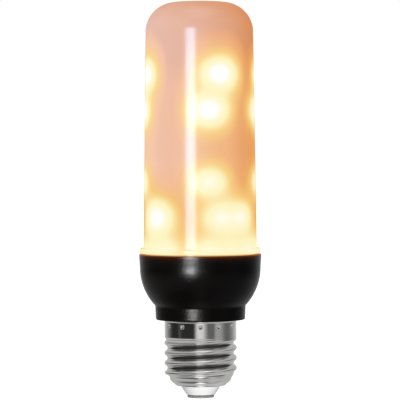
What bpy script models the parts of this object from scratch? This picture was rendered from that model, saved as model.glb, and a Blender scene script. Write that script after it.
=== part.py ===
"""Flame effect LED bulb with an E27 screw cap, built piece by piece.

The origin is the middle of the centre contact's flat face, and +Z runs up the
axis to the closed end of the diffuser. The side that faces -Y is the front.
A round piece is a turned outline: its (radius, height) points run up the outer
side and down the inner side, so that its faces point outwards.
"""

import math

import bmesh
import bpy
from mathutils import Matrix, Vector

MM = 0.001

# Fits
SEAT_GAP = 0.3 * MM

# Divisions of round pieces
ROUND_STEPS = 36
SHELL_STEPS = 36
MEDIUM_STEPS = 24
SMALL_STEPS = 12

# Centre contact
CONTACT_RADIUS = 4.86 * MM
CONTACT_HEAD = 0.8 * MM
CONTACT_EDGE = 0.3 * MM
SHANK_RADIUS = 1.25 * MM
SHANK_LENGTH = 8.8 * MM

# Insulator
INSULATOR_DROP = 3.3 * MM
INSULATOR_TIP_RADIUS = 5.4 * MM
INSULATOR_THROAT_RADIUS = 7.2 * MM
INSULATOR_FLANGE_LIP = 1.4 * MM
INSULATOR_FLANGE_HEIGHT = 1.6 * MM
INSULATOR_BOSS_RADIUS = 3.4 * MM
INSULATOR_BOSS_HEIGHT = 2.0 * MM

# Screw shell
SHELL_WALL = 0.35 * MM
SHELL_FOOT_RADIUS = 9.3 * MM
SHELL_CONE_HEIGHT = 2.8 * MM
SHELL_CONE_RADIUS = 11.2 * MM
SHELL_CONE_BENDS = ((0.0, 0.0), (0.19, 0.25), (0.68, 0.64))
THREAD_RADIUS = 13.1 * MM
THREAD_DEPTH = 1.1 * MM
THREAD_PITCH = 3.629 * MM
THREAD_LENGTH = 14.8 * MM
THREAD_CREST_AT_PLUS_X = 14.32 * MM
THREAD_ROWS_PER_TURN = 6
SKIRT_RADIUS_DROP = 0.14 * MM
SKIRT_LENGTH = 6.15 * MM
LIP_FLARE = 0.34 * MM
LIP_HEIGHT = 0.6 * MM
STAKE_COUNT = 12
STAKE_BELOW_LIP = 2.15 * MM
STAKE_HEIGHT = 1.4 * MM
STAKE_DEPTH = 0.45 * MM
STAKE_SLOPE = 0.35 * MM

# Housing
HOUSING_WALL = 1.65 * MM
NECK_WALL = 1.2 * MM
NECK_DEPTH_IN_THREAD = 10.4 * MM
FLOOR_THICKNESS = 2.0 * MM
COLLAR_SEAT_WIDTH = 2.2 * MM
COLLAR_TAPER = 0.2 * MM
COLLAR_HEIGHT = 5.0 * MM
COLLAR_EDGE = 0.3 * MM
LIP_RECESS_DEPTH = 0.3 * MM
BOWL_RADIUS = 21.75 * MM
BOWL_ARC_RADIUS = 20.0 * MM
BOWL_HEIGHT = 18.55 * MM
RIM_FLARE = 0.28 * MM
RIM_EDGE = 0.25 * MM
SNAP_DEPTH = 0.3 * MM
SNAP_HALF_HEIGHT = 0.4 * MM
RAIL_WIDTH = 0.9 * MM
RAIL_OVERLAP = 1.0 * MM

# Diffuser
DIFFUSER_WALL = 1.2 * MM
FLANGE_HEIGHT = 1.9 * MM
FLANGE_EDGE = 0.45 * MM
TUBE_INSET = 1.38 * MM
TUBE_DRAFT_DEGREES = 0.77
TUBE_LENGTH = 77.6 * MM
SHOULDER_RADIUS = 10.6 * MM

# Core that carries the LEDs
BASE_THICKNESS = 1.8 * MM
BASE_BELOW_SOCKET = 3.4 * MM
BASE_LEAD_HOLE_RADIUS = 4.0 * MM
SPIGOT_HEIGHT = 4.5 * MM
SPIGOT_WALL = 1.2 * MM
CORE_WALL = 1.0 * MM
CORE_TOP_MARGIN = 4.1 * MM
CAP_THICKNESS = 1.5 * MM
CAP_SPIGOT_DEPTH = 3.0 * MM

# Screws that hold the base to the bosses of the housing
SCREW_COUNT = 3
SCREW_HEAD_RADIUS = 1.8 * MM
SCREW_HEAD_HEIGHT = 1.2 * MM
SCREW_SHANK_RADIUS = 1.05 * MM
SCREW_REACH = 6.5 * MM
SCREW_EDGE_MARGIN = 0.5 * MM
SCREW_CORE_MARGIN = 1.5 * MM
BOSS_WALL = 0.75 * MM
BOSS_SKIN = 0.5 * MM

# LED board, a flexible strip wrapped round the core
FLEX_THICKNESS = 0.35 * MM
FLEX_MARGIN = 3.5 * MM
FLEX_SEAM = 1.0 * MM
LED_ROWS = 7
LED_COLUMNS = 30
LED_TURN_DEGREES = -8.0
LED_HEIGHT = 3.5 * MM
LED_RISE = 0.8 * MM
FIRST_LED_ABOVE_RIM = 0.3 * MM
TOP_LED_BELOW_SHOULDER = 3.0 * MM

# Control board inside the foot of the core
CONTROL_BOARD_THICKNESS = 1.0 * MM
CONTROLLER_SIZE = (4.9 * MM, 3.9 * MM, 1.4 * MM)
HEADER_SIZE = (2.5 * MM, 7.5 * MM, 3.2 * MM)
CONTROL_PARTS_MARGIN = 0.8 * MM

# Driver board, which stands upright in the neck
BOARD_THICKNESS = 1.6 * MM
BOARD_BEHIND_AXIS = 3.0 * MM
BOARD_CORNER = 1.5 * MM
COMPONENT_SPACING = 1.2 * MM
SMOOTHING_RADIUS = 4.0 * MM
SMOOTHING_HEIGHT = 11.5 * MM
OUTPUT_RADIUS = 3.15 * MM
OUTPUT_HEIGHT = 9.0 * MM
CAN_GROOVE = 0.3 * MM
CAN_FOOT = 1.6 * MM
CHOKE_RADIUS = 4.0 * MM
CHOKE_CORE_RADIUS = 3.2 * MM
CHOKE_HEIGHT = 9.5 * MM
CHOKE_FLANGE = 1.2 * MM
RECTIFIER_SIZE = (4.7 * MM, 1.5 * MM, 3.9 * MM)
DRIVER_CHIP_SIZE = (4.9 * MM, 1.4 * MM, 3.9 * MM)
FUSE_RADIUS = 1.6 * MM
FUSE_HEIGHT = 7.0 * MM
FUSE_LEAD_RADIUS = 0.35 * MM
FUSE_LEAD_LENGTH = 2.0 * MM
TOP_PARTS_BELOW_EDGE = 1.0 * MM
BOTTOM_PARTS_ABOVE_EDGE = 3.2 * MM
LEAD_THICKNESS = 0.5 * MM
LEAD_DROP = 1.2 * MM
LEAD_SPACING = 2.5 * MM
CHIP_LEG_WIDTH = 0.5 * MM
CHIP_LEG_REACH = 0.9 * MM
CHIP_LEG_BEND = 0.36 * MM
CHIP_LEG_THICKNESS = 0.25 * MM
CHIP_LEG_PITCH = 1.27 * MM

# Wires
WIRE_RADIUS = 0.6 * MM
LIVE_WIRE_BEND = 0.6
FEED_WIRE_REACH = 7.0 * MM

# Heights, added up from the contact's face
INSULATOR_BOTTOM = CONTACT_HEAD + SEAT_GAP
SHELL_FOOT = INSULATOR_BOTTOM + INSULATOR_DROP
SHELL_FLOOR = SHELL_FOOT + SHELL_WALL
THREAD_BOTTOM = SHELL_FOOT + SHELL_CONE_HEIGHT
THREAD_TOP = THREAD_BOTTOM + THREAD_LENGTH
SHELL_TOP = THREAD_TOP + SKIRT_LENGTH
LIP_RECESS_TOP = SHELL_TOP + SEAT_GAP
COLLAR_BOTTOM = LIP_RECESS_TOP - LIP_RECESS_DEPTH
NECK_BOTTOM = THREAD_TOP - NECK_DEPTH_IN_THREAD
FLOOR_TOP = COLLAR_BOTTOM + FLOOR_THICKNESS
COLLAR_TOP = COLLAR_BOTTOM + COLLAR_HEIGHT
HOUSING_RIM = COLLAR_TOP + BOWL_HEIGHT
FLANGE_BOTTOM = HOUSING_RIM + SEAT_GAP
FLANGE_TOP = FLANGE_BOTTOM + FLANGE_HEIGHT
SHOULDER_START = FLANGE_TOP + TUBE_LENGTH

# Radii that follow from their neighbours
THREAD_ROOT_RADIUS = THREAD_RADIUS - THREAD_DEPTH
SKIRT_RADIUS = THREAD_RADIUS - SKIRT_RADIUS_DROP
LIP_RECESS_RADIUS = SKIRT_RADIUS + LIP_FLARE + SEAT_GAP
COLLAR_SEAT_RADIUS = LIP_RECESS_RADIUS + COLLAR_SEAT_WIDTH
COLLAR_FOOT_RADIUS = COLLAR_SEAT_RADIUS + COLLAR_EDGE
COLLAR_RADIUS = COLLAR_FOOT_RADIUS + COLLAR_TAPER
NECK_RADIUS = SKIRT_RADIUS - SHELL_WALL - SEAT_GAP
NECK_LOWER_RADIUS = THREAD_ROOT_RADIUS - SHELL_WALL - SEAT_GAP
NECK_BORE = NECK_LOWER_RADIUS - NECK_WALL
STAKE_GROOVE_RADIUS = NECK_RADIUS - STAKE_DEPTH
SOCKET_RADIUS = BOWL_RADIUS - HOUSING_WALL
PLUG_RADIUS = SOCKET_RADIUS - SEAT_GAP
PLUG_BORE = PLUG_RADIUS - DIFFUSER_WALL
SNAP_RADIUS = SOCKET_RADIUS + SNAP_DEPTH
FLANGE_RADIUS = BOWL_RADIUS
TUBE_RADIUS = FLANGE_RADIUS - TUBE_INSET
TUBE_TOP_RADIUS = TUBE_RADIUS - TUBE_LENGTH * math.tan(math.radians(TUBE_DRAFT_DEGREES))
BASE_RADIUS = PLUG_BORE - SEAT_GAP
SCREW_CIRCLE = BASE_RADIUS - SCREW_HEAD_RADIUS - SCREW_EDGE_MARGIN
CORE_RADIUS = SCREW_CIRCLE - SCREW_HEAD_RADIUS - SCREW_CORE_MARGIN
CORE_BORE = CORE_RADIUS - CORE_WALL
SPIGOT_RADIUS = CORE_BORE - SEAT_GAP
SPIGOT_BORE = SPIGOT_RADIUS - SPIGOT_WALL
SCREW_BORE = SCREW_SHANK_RADIUS + SEAT_GAP
BOSS_RADIUS = SCREW_BORE + BOSS_WALL

# The bowl's side is an arc from the collar to where it runs upright
BOWL_ARC_CENTRE_RADIUS = BOWL_RADIUS - BOWL_ARC_RADIUS
BOWL_ARC_TOP = COLLAR_TOP + math.sqrt(
    BOWL_ARC_RADIUS ** 2 - (COLLAR_RADIUS - BOWL_ARC_CENTRE_RADIUS) ** 2
)

# Heights of the core and its boards
BASE_BOTTOM = BOWL_ARC_TOP - BASE_BELOW_SOCKET
BASE_TOP = BASE_BOTTOM + BASE_THICKNESS
BOSS_TOP = BASE_BOTTOM - SEAT_GAP
CORE_BOTTOM = BASE_TOP + SEAT_GAP
FIRST_LED = FLANGE_BOTTOM + FIRST_LED_ABOVE_RIM
TOP_LED = SHOULDER_START - TOP_LED_BELOW_SHOULDER
LED_ROW_PITCH = (TOP_LED - FIRST_LED) / (LED_ROWS - 1)
CORE_TOP = TOP_LED + CORE_TOP_MARGIN
CONTROL_BOARD_BOTTOM = BASE_TOP + SEAT_GAP
CONTROL_BOARD_TOP = CONTROL_BOARD_BOTTOM + CONTROL_BOARD_THICKNESS
BOARD_FRONT = BOARD_BEHIND_AXIS - BOARD_THICKNESS / 2
BOARD_BACK = BOARD_BEHIND_AXIS + BOARD_THICKNESS / 2
BOARD_HALF_WIDTH = math.sqrt((NECK_BORE - SEAT_GAP) ** 2 - BOARD_BACK ** 2)
BOARD_BOTTOM = NECK_BOTTOM + SEAT_GAP
BOARD_TOP = BASE_BOTTOM - SEAT_GAP

FINISHES = {
    "diffuser": ((0.93, 0.75, 0.52), 0.45, 0.0),
    "housing": ((0.012, 0.010, 0.010), 0.5, 0.0),
    "screw_shell": ((0.62, 0.60, 0.57), 0.28, 1.0),
    "insulator": ((0.85, 0.84, 0.82), 0.45, 0.0),
    "centre_contact": ((0.60, 0.59, 0.57), 0.35, 1.0),
    "core_base": ((0.78, 0.78, 0.76), 0.5, 0.0),
    "led_core": ((0.70, 0.71, 0.72), 0.35, 1.0),
    "core_cap": ((0.78, 0.78, 0.76), 0.5, 0.0),
    "led_flex_board": ((0.83, 0.80, 0.72), 0.5, 0.0),
    "control_board": ((0.02, 0.16, 0.06), 0.4, 0.0),
    "controller_chip": ((0.02, 0.02, 0.02), 0.5, 0.0),
    "board_header": ((0.80, 0.78, 0.70), 0.5, 0.0),
    "driver_board": ((0.02, 0.16, 0.06), 0.4, 0.0),
    "smoothing_capacitor": ((0.05, 0.05, 0.06), 0.35, 0.0),
    "output_capacitor": ((0.04, 0.05, 0.10), 0.35, 0.0),
    "choke": ((0.30, 0.10, 0.05), 0.45, 0.0),
    "bridge_rectifier": ((0.02, 0.02, 0.02), 0.5, 0.0),
    "driver_chip": ((0.02, 0.02, 0.02), 0.5, 0.0),
    "fuse_resistor": ((0.12, 0.32, 0.20), 0.5, 0.0),
    "live_wire": ((0.55, 0.02, 0.02), 0.45, 0.0),
    "neutral_wire": ((0.03, 0.03, 0.03), 0.45, 0.0),
    "feed_wire_red": ((0.55, 0.02, 0.02), 0.45, 0.0),
    "feed_wire_black": ((0.03, 0.03, 0.03), 0.45, 0.0),
    "base_screw": ((0.55, 0.55, 0.54), 0.35, 1.0),
}


def clear_scene():
    for old in list(bpy.data.objects):
        bpy.data.objects.remove(old, do_unlink=True)


def finish(name):
    """The material of a piece: colour, roughness and metallic value."""
    colour, roughness, metallic = FINISHES[name]
    material = bpy.data.materials.new(name)
    material.use_nodes = True
    shader = material.node_tree.nodes["Principled BSDF"]
    shader.inputs["Base Color"].default_value = (*colour, 1.0)
    shader.inputs["Roughness"].default_value = roughness
    shader.inputs["Metallic"].default_value = metallic
    material.diffuse_color = (*colour, 1.0)
    return material


def add_piece(name, shape, parent, location=(0.0, 0.0, 0.0), finish_name=None):
    """Turn a bmesh into a named object with its own material."""
    mesh = bpy.data.meshes.new(name)
    shape.to_mesh(mesh)
    shape.free()
    mesh.shade_smooth()
    mesh.set_sharp_from_angle(angle=math.radians(35))
    piece = bpy.data.objects.new(name, mesh)
    bpy.context.scene.collection.objects.link(piece)
    piece.location = location
    piece.parent = parent
    mesh.materials.append(finish(finish_name or name))
    return piece


def add_tool(name, shape, parent):
    """A guide solid for a Boolean, which isn't part of the bulb."""
    mesh = bpy.data.meshes.new(name)
    shape.to_mesh(mesh)
    shape.free()
    tool = bpy.data.objects.new(name, mesh)
    bpy.context.scene.collection.objects.link(tool)
    tool.parent = parent
    tool.hide_render = True
    tool.display_type = "WIRE"
    return tool


def combine(piece, tool, operation):
    modifier = piece.modifiers.new(tool.name, "BOOLEAN")
    modifier.operation = operation
    modifier.solver = "EXACT"
    modifier.object = tool


def arc(centre, radius, start_degrees, end_degrees, steps):
    """Points of (radius, height) along an arc, both ends included."""
    points = []
    for step in range(steps + 1):
        angle = math.radians(start_degrees + (end_degrees - start_degrees) * step / steps)
        points.append((
            centre[0] + radius * math.cos(angle),
            centre[1] + radius * math.sin(angle),
        ))
    return points


def ring_points(radius, height, steps, first_angle=0.0):
    """One ring of points; the radius may be a number or depend on the angle."""
    points = []
    for step in range(steps):
        angle = first_angle + 2 * math.pi * step / steps
        reach = radius(angle) if callable(radius) else radius
        points.append((reach * math.cos(angle), reach * math.sin(angle), height))
    return points


def skin(rings, closed):
    """Join rings of points into one closed shape, capped flat if it isn't a loop."""
    shape = bmesh.new()
    loops = [[shape.verts.new(point) for point in ring] for ring in rings]
    pairs = list(zip(loops, loops[1:]))
    if closed:
        pairs.append((loops[-1], loops[0]))
    for lower, upper in pairs:
        for here in range(len(lower)):
            after = (here + 1) % len(lower)
            shape.faces.new((lower[here], lower[after], upper[after], upper[here]))
    if not closed:
        shape.faces.new(list(reversed(loops[0])))
        shape.faces.new(loops[-1])
    return shape


def turned(outline, steps, closed=True, centre=(0.0, 0.0)):
    """Spin an outline of (radius, height) points round an upright line."""
    rings = []
    for radius, height in outline:
        ring = ring_points(radius, height, steps)
        rings.append([(x + centre[0], y + centre[1], z) for x, y, z in ring])
    return skin(rings, closed)


def add_block(shape, size, centre):
    """Add a box to a shape."""
    place = Matrix.Translation(centre) @ Matrix.Diagonal((*size, 1.0))
    bmesh.ops.create_cube(shape, size=1.0, matrix=place)


def block(size, centre):
    shape = bmesh.new()
    add_block(shape, size, centre)
    return shape


def along_x(point, depth):
    return (depth, point[0], point[1])


def along_y(point, depth):
    return (point[0], depth, point[1])


def add_prism(shape, outline, low, high, place):
    """Add a straight prism with the outline's section, from one depth to another."""
    near = [shape.verts.new(place(point, low)) for point in outline]
    far = [shape.verts.new(place(point, high)) for point in outline]
    faces = [shape.faces.new(near), shape.faces.new(list(reversed(far)))]
    for here in range(len(outline)):
        after = (here + 1) % len(outline)
        faces.append(shape.faces.new((near[after], near[here], far[here], far[after])))
    bmesh.ops.recalc_face_normals(shape, faces=faces)


def screw_angles():
    return [math.radians(90) + 2 * math.pi * turn / SCREW_COUNT for turn in range(SCREW_COUNT)]


def screw_places():
    return [(SCREW_CIRCLE * math.cos(a), SCREW_CIRCLE * math.sin(a)) for a in screw_angles()]


def thread_rise(angle, height):
    """How far the rolled thread stands out of its root, made of equal arcs."""
    quarter = THREAD_PITCH / 4
    half_depth = THREAD_DEPTH / 2
    arc_radius = (quarter ** 2 + half_depth ** 2) / (2 * half_depth)
    turns = (height - THREAD_CREST_AT_PLUS_X) / THREAD_PITCH - angle / (2 * math.pi)
    from_crest = abs(turns - round(turns)) * THREAD_PITCH
    if from_crest < quarter:
        return THREAD_DEPTH - arc_radius + math.sqrt(arc_radius ** 2 - from_crest ** 2)
    from_root = THREAD_PITCH / 2 - from_crest
    return arc_radius - math.sqrt(arc_radius ** 2 - from_root ** 2)


def smooth_step(value):
    value = min(max(value, 0.0), 1.0)
    return value * value * (3 - 2 * value)


def thread_radius(angle, height, inset):
    """Radius of the threaded wall, which fades into the cone and the skirt."""
    run = THREAD_PITCH / 2
    fade_in = smooth_step((height - THREAD_BOTTOM) / run)
    fade_out = smooth_step((THREAD_TOP - height) / run)
    root = SHELL_CONE_RADIUS + (THREAD_ROOT_RADIUS - SHELL_CONE_RADIUS) * fade_in
    root = SKIRT_RADIUS + (root - SKIRT_RADIUS) * fade_out
    return root + thread_rise(angle, height) * fade_in * fade_out - inset


def cone_outline(inset):
    """The rounded foot of the shell, from its flat underside up to the thread."""
    reach = SHELL_CONE_RADIUS - SHELL_FOOT_RADIUS
    points = []
    for outward, upward in SHELL_CONE_BENDS:
        radius = SHELL_FOOT_RADIUS + reach * outward - inset
        points.append((radius, SHELL_FOOT + SHELL_CONE_HEIGHT * upward))
    return points


def shell_side(inset):
    """Rings of one wall of the screw shell, from the foot up to the lip."""
    steps = SHELL_STEPS
    first_angle = math.radians(-90) - math.pi / steps
    rings = []
    for radius, height in cone_outline(inset):
        rings.append(ring_points(radius, max(height, SHELL_FOOT + inset), steps, first_angle))
    rows = round(THREAD_LENGTH / THREAD_PITCH * THREAD_ROWS_PER_TURN)
    for row in range(rows + 1):
        height = THREAD_BOTTOM + THREAD_LENGTH * row / rows
        rings.append(ring_points(
            lambda angle: thread_radius(angle, height, inset), height, steps, first_angle,
        ))
    stake_middle = SHELL_TOP - STAKE_BELOW_LIP
    skirt = [
        (SKIRT_RADIUS - inset, stake_middle - STAKE_HEIGHT / 2),
        (SKIRT_RADIUS - inset, stake_middle + STAKE_HEIGHT / 2),
        (SKIRT_RADIUS - inset, SHELL_TOP - LIP_HEIGHT),
        (SKIRT_RADIUS + LIP_FLARE - inset, SHELL_TOP),
    ]
    for radius, height in skirt:
        rings.append(ring_points(radius, height, steps, first_angle))
    return rings


def stake_faces(shape):
    """The faces of both walls that lie where the shell is staked to the neck."""
    stake_middle = SHELL_TOP - STAKE_BELOW_LIP
    wanted = []
    for face in shape.faces:
        middle = face.calc_center_median()
        level = abs(middle.z - stake_middle) < STAKE_HEIGHT / 4
        turns = (math.atan2(middle.y, middle.x) + math.radians(90)) / (2 * math.pi) * STAKE_COUNT
        if level and abs(turns - round(turns)) < STAKE_COUNT / SHELL_STEPS / 4:
            wanted.append(face)
    return wanted


def make_screw_shell(bulb):
    """Rolled shell: foot, right-handed thread, plain skirt, stakes and lip."""
    hole = INSULATOR_THROAT_RADIUS + SEAT_GAP
    steps = SHELL_STEPS
    first_angle = math.radians(-90) - math.pi / steps
    rings = [ring_points(hole, SHELL_FOOT, steps, first_angle)]
    rings += shell_side(0.0)
    rings += list(reversed(shell_side(SHELL_WALL)))
    rings.append(ring_points(hole, SHELL_FLOOR, steps, first_angle))
    shape = skin(rings, closed=True)
    stakes = stake_faces(shape)
    bmesh.ops.inset_individual(shape, faces=stakes, thickness=STAKE_SLOPE)
    for face in stakes:
        middle = face.calc_center_median()
        inwards = Vector((-middle.x, -middle.y, 0.0)).normalized() * STAKE_DEPTH
        bmesh.ops.translate(shape, vec=inwards, verts=face.verts)
    add_piece("screw_shell", shape, bulb)


def make_centre_contact(bulb):
    """Flat-bottomed contact with a shank pressed up through the insulator."""
    outline = [
        (CONTACT_RADIUS - CONTACT_EDGE, 0.0),
        (CONTACT_RADIUS - CONTACT_EDGE / 4, CONTACT_EDGE / 4),
        (CONTACT_RADIUS, CONTACT_EDGE),
        (CONTACT_RADIUS, CONTACT_HEAD),
        (SHANK_RADIUS, CONTACT_HEAD),
        (SHANK_RADIUS, CONTACT_HEAD + SHANK_LENGTH),
    ]
    add_piece("centre_contact", turned(outline, MEDIUM_STEPS, closed=False), bulb)


def make_insulator(bulb):
    """White cone below the shell, held by a flange on the shell's floor."""
    bore = SHANK_RADIUS + SEAT_GAP
    flange_bottom = SHELL_FLOOR + SEAT_GAP
    flange_top = flange_bottom + INSULATOR_FLANGE_HEIGHT
    flange_radius = INSULATOR_THROAT_RADIUS + INSULATOR_FLANGE_LIP
    outline = [
        (INSULATOR_TIP_RADIUS, INSULATOR_BOTTOM),
        (INSULATOR_THROAT_RADIUS, SHELL_FOOT),
        (INSULATOR_THROAT_RADIUS, flange_bottom),
        (flange_radius, flange_bottom),
        (flange_radius, flange_top),
        (INSULATOR_BOSS_RADIUS, flange_top),
        (INSULATOR_BOSS_RADIUS, flange_top + INSULATOR_BOSS_HEIGHT),
        (bore, flange_top + INSULATOR_BOSS_HEIGHT),
        (bore, INSULATOR_BOTTOM),
    ]
    add_piece("insulator", turned(outline, MEDIUM_STEPS), bulb)


def bowl_arc(radius, first_radius, steps):
    """Points of an arc round the bowl's centre, from a radius to the upright part."""
    start = -math.degrees(math.acos((first_radius - BOWL_ARC_CENTRE_RADIUS) / radius))
    return arc((BOWL_ARC_CENTRE_RADIUS, BOWL_ARC_TOP), radius, start, 0.0, steps)


def housing_outline():
    stake_middle = SHELL_TOP - STAKE_BELOW_LIP
    groove_half = STAKE_HEIGHT / 2
    snap_middle = (BOWL_ARC_TOP + HOUSING_RIM) / 2
    snap_groove = SNAP_RADIUS + SEAT_GAP
    collar_inside = COLLAR_RADIUS - HOUSING_WALL
    outer = [
        (NECK_LOWER_RADIUS, NECK_BOTTOM),
        (NECK_LOWER_RADIUS, THREAD_TOP),
        (NECK_RADIUS, THREAD_TOP + NECK_RADIUS - NECK_LOWER_RADIUS),
        (NECK_RADIUS, stake_middle - groove_half - STAKE_DEPTH),
        (STAKE_GROOVE_RADIUS, stake_middle - groove_half),
        (STAKE_GROOVE_RADIUS, stake_middle + groove_half),
        (NECK_RADIUS, stake_middle + groove_half + STAKE_DEPTH),
        (NECK_RADIUS, LIP_RECESS_TOP),
        (LIP_RECESS_RADIUS, LIP_RECESS_TOP),
        (LIP_RECESS_RADIUS, COLLAR_BOTTOM),
        (COLLAR_SEAT_RADIUS, COLLAR_BOTTOM),
        (COLLAR_FOOT_RADIUS, COLLAR_BOTTOM + COLLAR_EDGE),
    ]
    outer += bowl_arc(BOWL_ARC_RADIUS, COLLAR_RADIUS, 7)
    outer += [
        (BOWL_RADIUS + RIM_FLARE, HOUSING_RIM - RIM_EDGE),
        (BOWL_RADIUS + RIM_FLARE - RIM_EDGE, HOUSING_RIM),
    ]
    inner = [
        (SOCKET_RADIUS, HOUSING_RIM),
        (SOCKET_RADIUS, snap_middle + 2 * SNAP_HALF_HEIGHT),
        (snap_groove, snap_middle + SNAP_HALF_HEIGHT),
        (snap_groove, snap_middle - SNAP_HALF_HEIGHT),
        (SOCKET_RADIUS, snap_middle - 2 * SNAP_HALF_HEIGHT),
    ]
    inner += list(reversed(bowl_arc(BOWL_ARC_RADIUS - HOUSING_WALL, collar_inside, 4)))
    inner += [
        (collar_inside, FLOOR_TOP),
        (NECK_BORE, FLOOR_TOP),
        (NECK_BORE, NECK_BOTTOM),
    ]
    return outer + inner


def make_housing(bulb):
    """Black moulded bowl with the neck that goes into the shell."""
    housing = add_piece("housing", turned(housing_outline(), ROUND_STEPS), bulb)
    boss_foot = COLLAR_BOTTOM + FLOOR_THICKNESS / 2
    within = [
        (COLLAR_FOOT_RADIUS - BOSS_SKIN, boss_foot),
        *bowl_arc(BOWL_ARC_RADIUS - BOSS_SKIN, COLLAR_RADIUS - BOSS_SKIN, 8),
        (BOWL_RADIUS - BOSS_SKIN, HOUSING_RIM),
    ]
    envelope = add_tool("boss_envelope", turned(within, ROUND_STEPS, closed=False), bulb)
    bosses = bmesh.new()
    bores = bmesh.new()
    for x, y in screw_places():
        add_post(bosses, BOSS_RADIUS, boss_foot - FLOOR_THICKNESS, BOSS_TOP, (x, y))
        bore_bottom = BASE_TOP - SCREW_REACH - 2 * SEAT_GAP
        add_post(bores, SCREW_BORE, bore_bottom, BASE_TOP, (x, y))
    boss_tool = add_tool("boss_posts", bosses, bulb)
    combine(boss_tool, envelope, "INTERSECT")
    combine(housing, boss_tool, "UNION")
    combine(housing, add_tool("board_rails", rail_shape(), bulb), "UNION")
    combine(housing, add_tool("boss_bores", bores, bulb), "DIFFERENCE")


def rail_shape():
    """Two pairs of rails in the neck, between which the driver board slides in."""
    rails = bmesh.new()
    bottom, top = NECK_BOTTOM, FLOOR_TOP
    into_wall = NECK_BORE + NECK_WALL / 2
    near = BOARD_HALF_WIDTH - RAIL_OVERLAP
    front = BOARD_FRONT - SEAT_GAP - RAIL_WIDTH / 2
    back = BOARD_BACK + SEAT_GAP + RAIL_WIDTH / 2
    for y in (front, back):
        far = math.sqrt(into_wall ** 2 - y ** 2)
        size = (far - near, RAIL_WIDTH, top - bottom)
        for side in (-1, 1):
            add_block(rails, size, (side * (near + far) / 2, y, (bottom + top) / 2))
    return rails


def add_post(shape, radius, bottom, top, centre):
    """Add an upright round post to a shape."""
    height = top - bottom
    middle = Matrix.Translation((centre[0], centre[1], bottom + height / 2))
    bmesh.ops.create_cone(
        shape, cap_ends=True, segments=SMALL_STEPS, radius1=radius, radius2=radius,
        depth=height, matrix=middle,
    )


def make_diffuser(bulb):
    """Frosted cover: plug with a snap bead, flange, drafted tube and shoulder."""
    snap_middle = (BOWL_ARC_TOP + HOUSING_RIM) / 2
    plug_bottom = BOWL_ARC_TOP + SEAT_GAP
    shoulder_centre = TUBE_TOP_RADIUS - SHOULDER_RADIUS
    inner_shoulder = SHOULDER_RADIUS - DIFFUSER_WALL
    inner = list(reversed(arc((shoulder_centre, SHOULDER_START), inner_shoulder, 0.0, 90.0, 4)))
    inner += [
        (TUBE_RADIUS - DIFFUSER_WALL, FLANGE_TOP),
        (PLUG_BORE, FLANGE_BOTTOM + DIFFUSER_WALL / 2),
        (PLUG_BORE, plug_bottom),
    ]
    outer = [
        (PLUG_RADIUS, plug_bottom),
        (PLUG_RADIUS, snap_middle - SNAP_HALF_HEIGHT),
        (SNAP_RADIUS, snap_middle),
        (PLUG_RADIUS, snap_middle + SNAP_HALF_HEIGHT),
        (PLUG_RADIUS, FLANGE_BOTTOM),
        (FLANGE_RADIUS - FLANGE_EDGE / 3, FLANGE_BOTTOM),
        (FLANGE_RADIUS, FLANGE_BOTTOM + FLANGE_EDGE / 3),
    ]
    flange_corner = (FLANGE_RADIUS - FLANGE_EDGE, FLANGE_TOP - FLANGE_EDGE)
    outer += arc(flange_corner, FLANGE_EDGE, 0.0, 90.0, 2)
    outer += [(TUBE_RADIUS, FLANGE_TOP)]
    outer += arc((shoulder_centre, SHOULDER_START), SHOULDER_RADIUS, 0.0, 90.0, 7)
    add_piece("diffuser", turned(inner + outer, ROUND_STEPS, closed=False), bulb)


def make_core_base(bulb):
    """Round plate on the bosses, with a spigot inside the foot of the core."""
    outline = [
        (BASE_RADIUS, BASE_BOTTOM),
        (BASE_RADIUS, BASE_TOP),
        (SPIGOT_RADIUS, BASE_TOP),
        (SPIGOT_RADIUS, BASE_TOP + SPIGOT_HEIGHT),
        (SPIGOT_BORE, BASE_TOP + SPIGOT_HEIGHT),
        (SPIGOT_BORE, BASE_TOP),
        (BASE_LEAD_HOLE_RADIUS, BASE_TOP),
        (BASE_LEAD_HOLE_RADIUS, BASE_BOTTOM),
    ]
    base = add_piece("core_base", turned(outline, MEDIUM_STEPS), bulb)
    holes = bmesh.new()
    for x, y in screw_places():
        add_post(holes, SCREW_BORE, BASE_BOTTOM - BASE_THICKNESS, BASE_TOP + BASE_THICKNESS, (x, y))
    combine(base, add_tool("base_screw_holes", holes, bulb), "DIFFERENCE")


def make_base_screws(bulb):
    """Pan-head screws through the base into the bosses."""
    reach = SCREW_REACH
    outline = [
        (SCREW_SHANK_RADIUS / 3, -reach),
        (SCREW_SHANK_RADIUS, -reach + SCREW_SHANK_RADIUS),
        (SCREW_SHANK_RADIUS, SEAT_GAP),
        (SCREW_HEAD_RADIUS, SEAT_GAP),
        (SCREW_HEAD_RADIUS, SEAT_GAP + SCREW_HEAD_HEIGHT / 2),
        (SCREW_HEAD_RADIUS / 2, SEAT_GAP + SCREW_HEAD_HEIGHT),
    ]
    for number, (x, y) in enumerate(screw_places(), start=1):
        shape = turned(outline, SMALL_STEPS, closed=False)
        add_piece(f"base_screw_{number}", shape, bulb, (x, y, BASE_TOP), "base_screw")


def make_led_core(bulb):
    """Aluminium tube that carries the flexible LED board."""
    outline = [
        (CORE_RADIUS, CORE_BOTTOM),
        (CORE_RADIUS, CORE_TOP),
        (CORE_BORE, CORE_TOP),
        (CORE_BORE, CORE_BOTTOM),
    ]
    add_piece("led_core", turned(outline, MEDIUM_STEPS), bulb)


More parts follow.
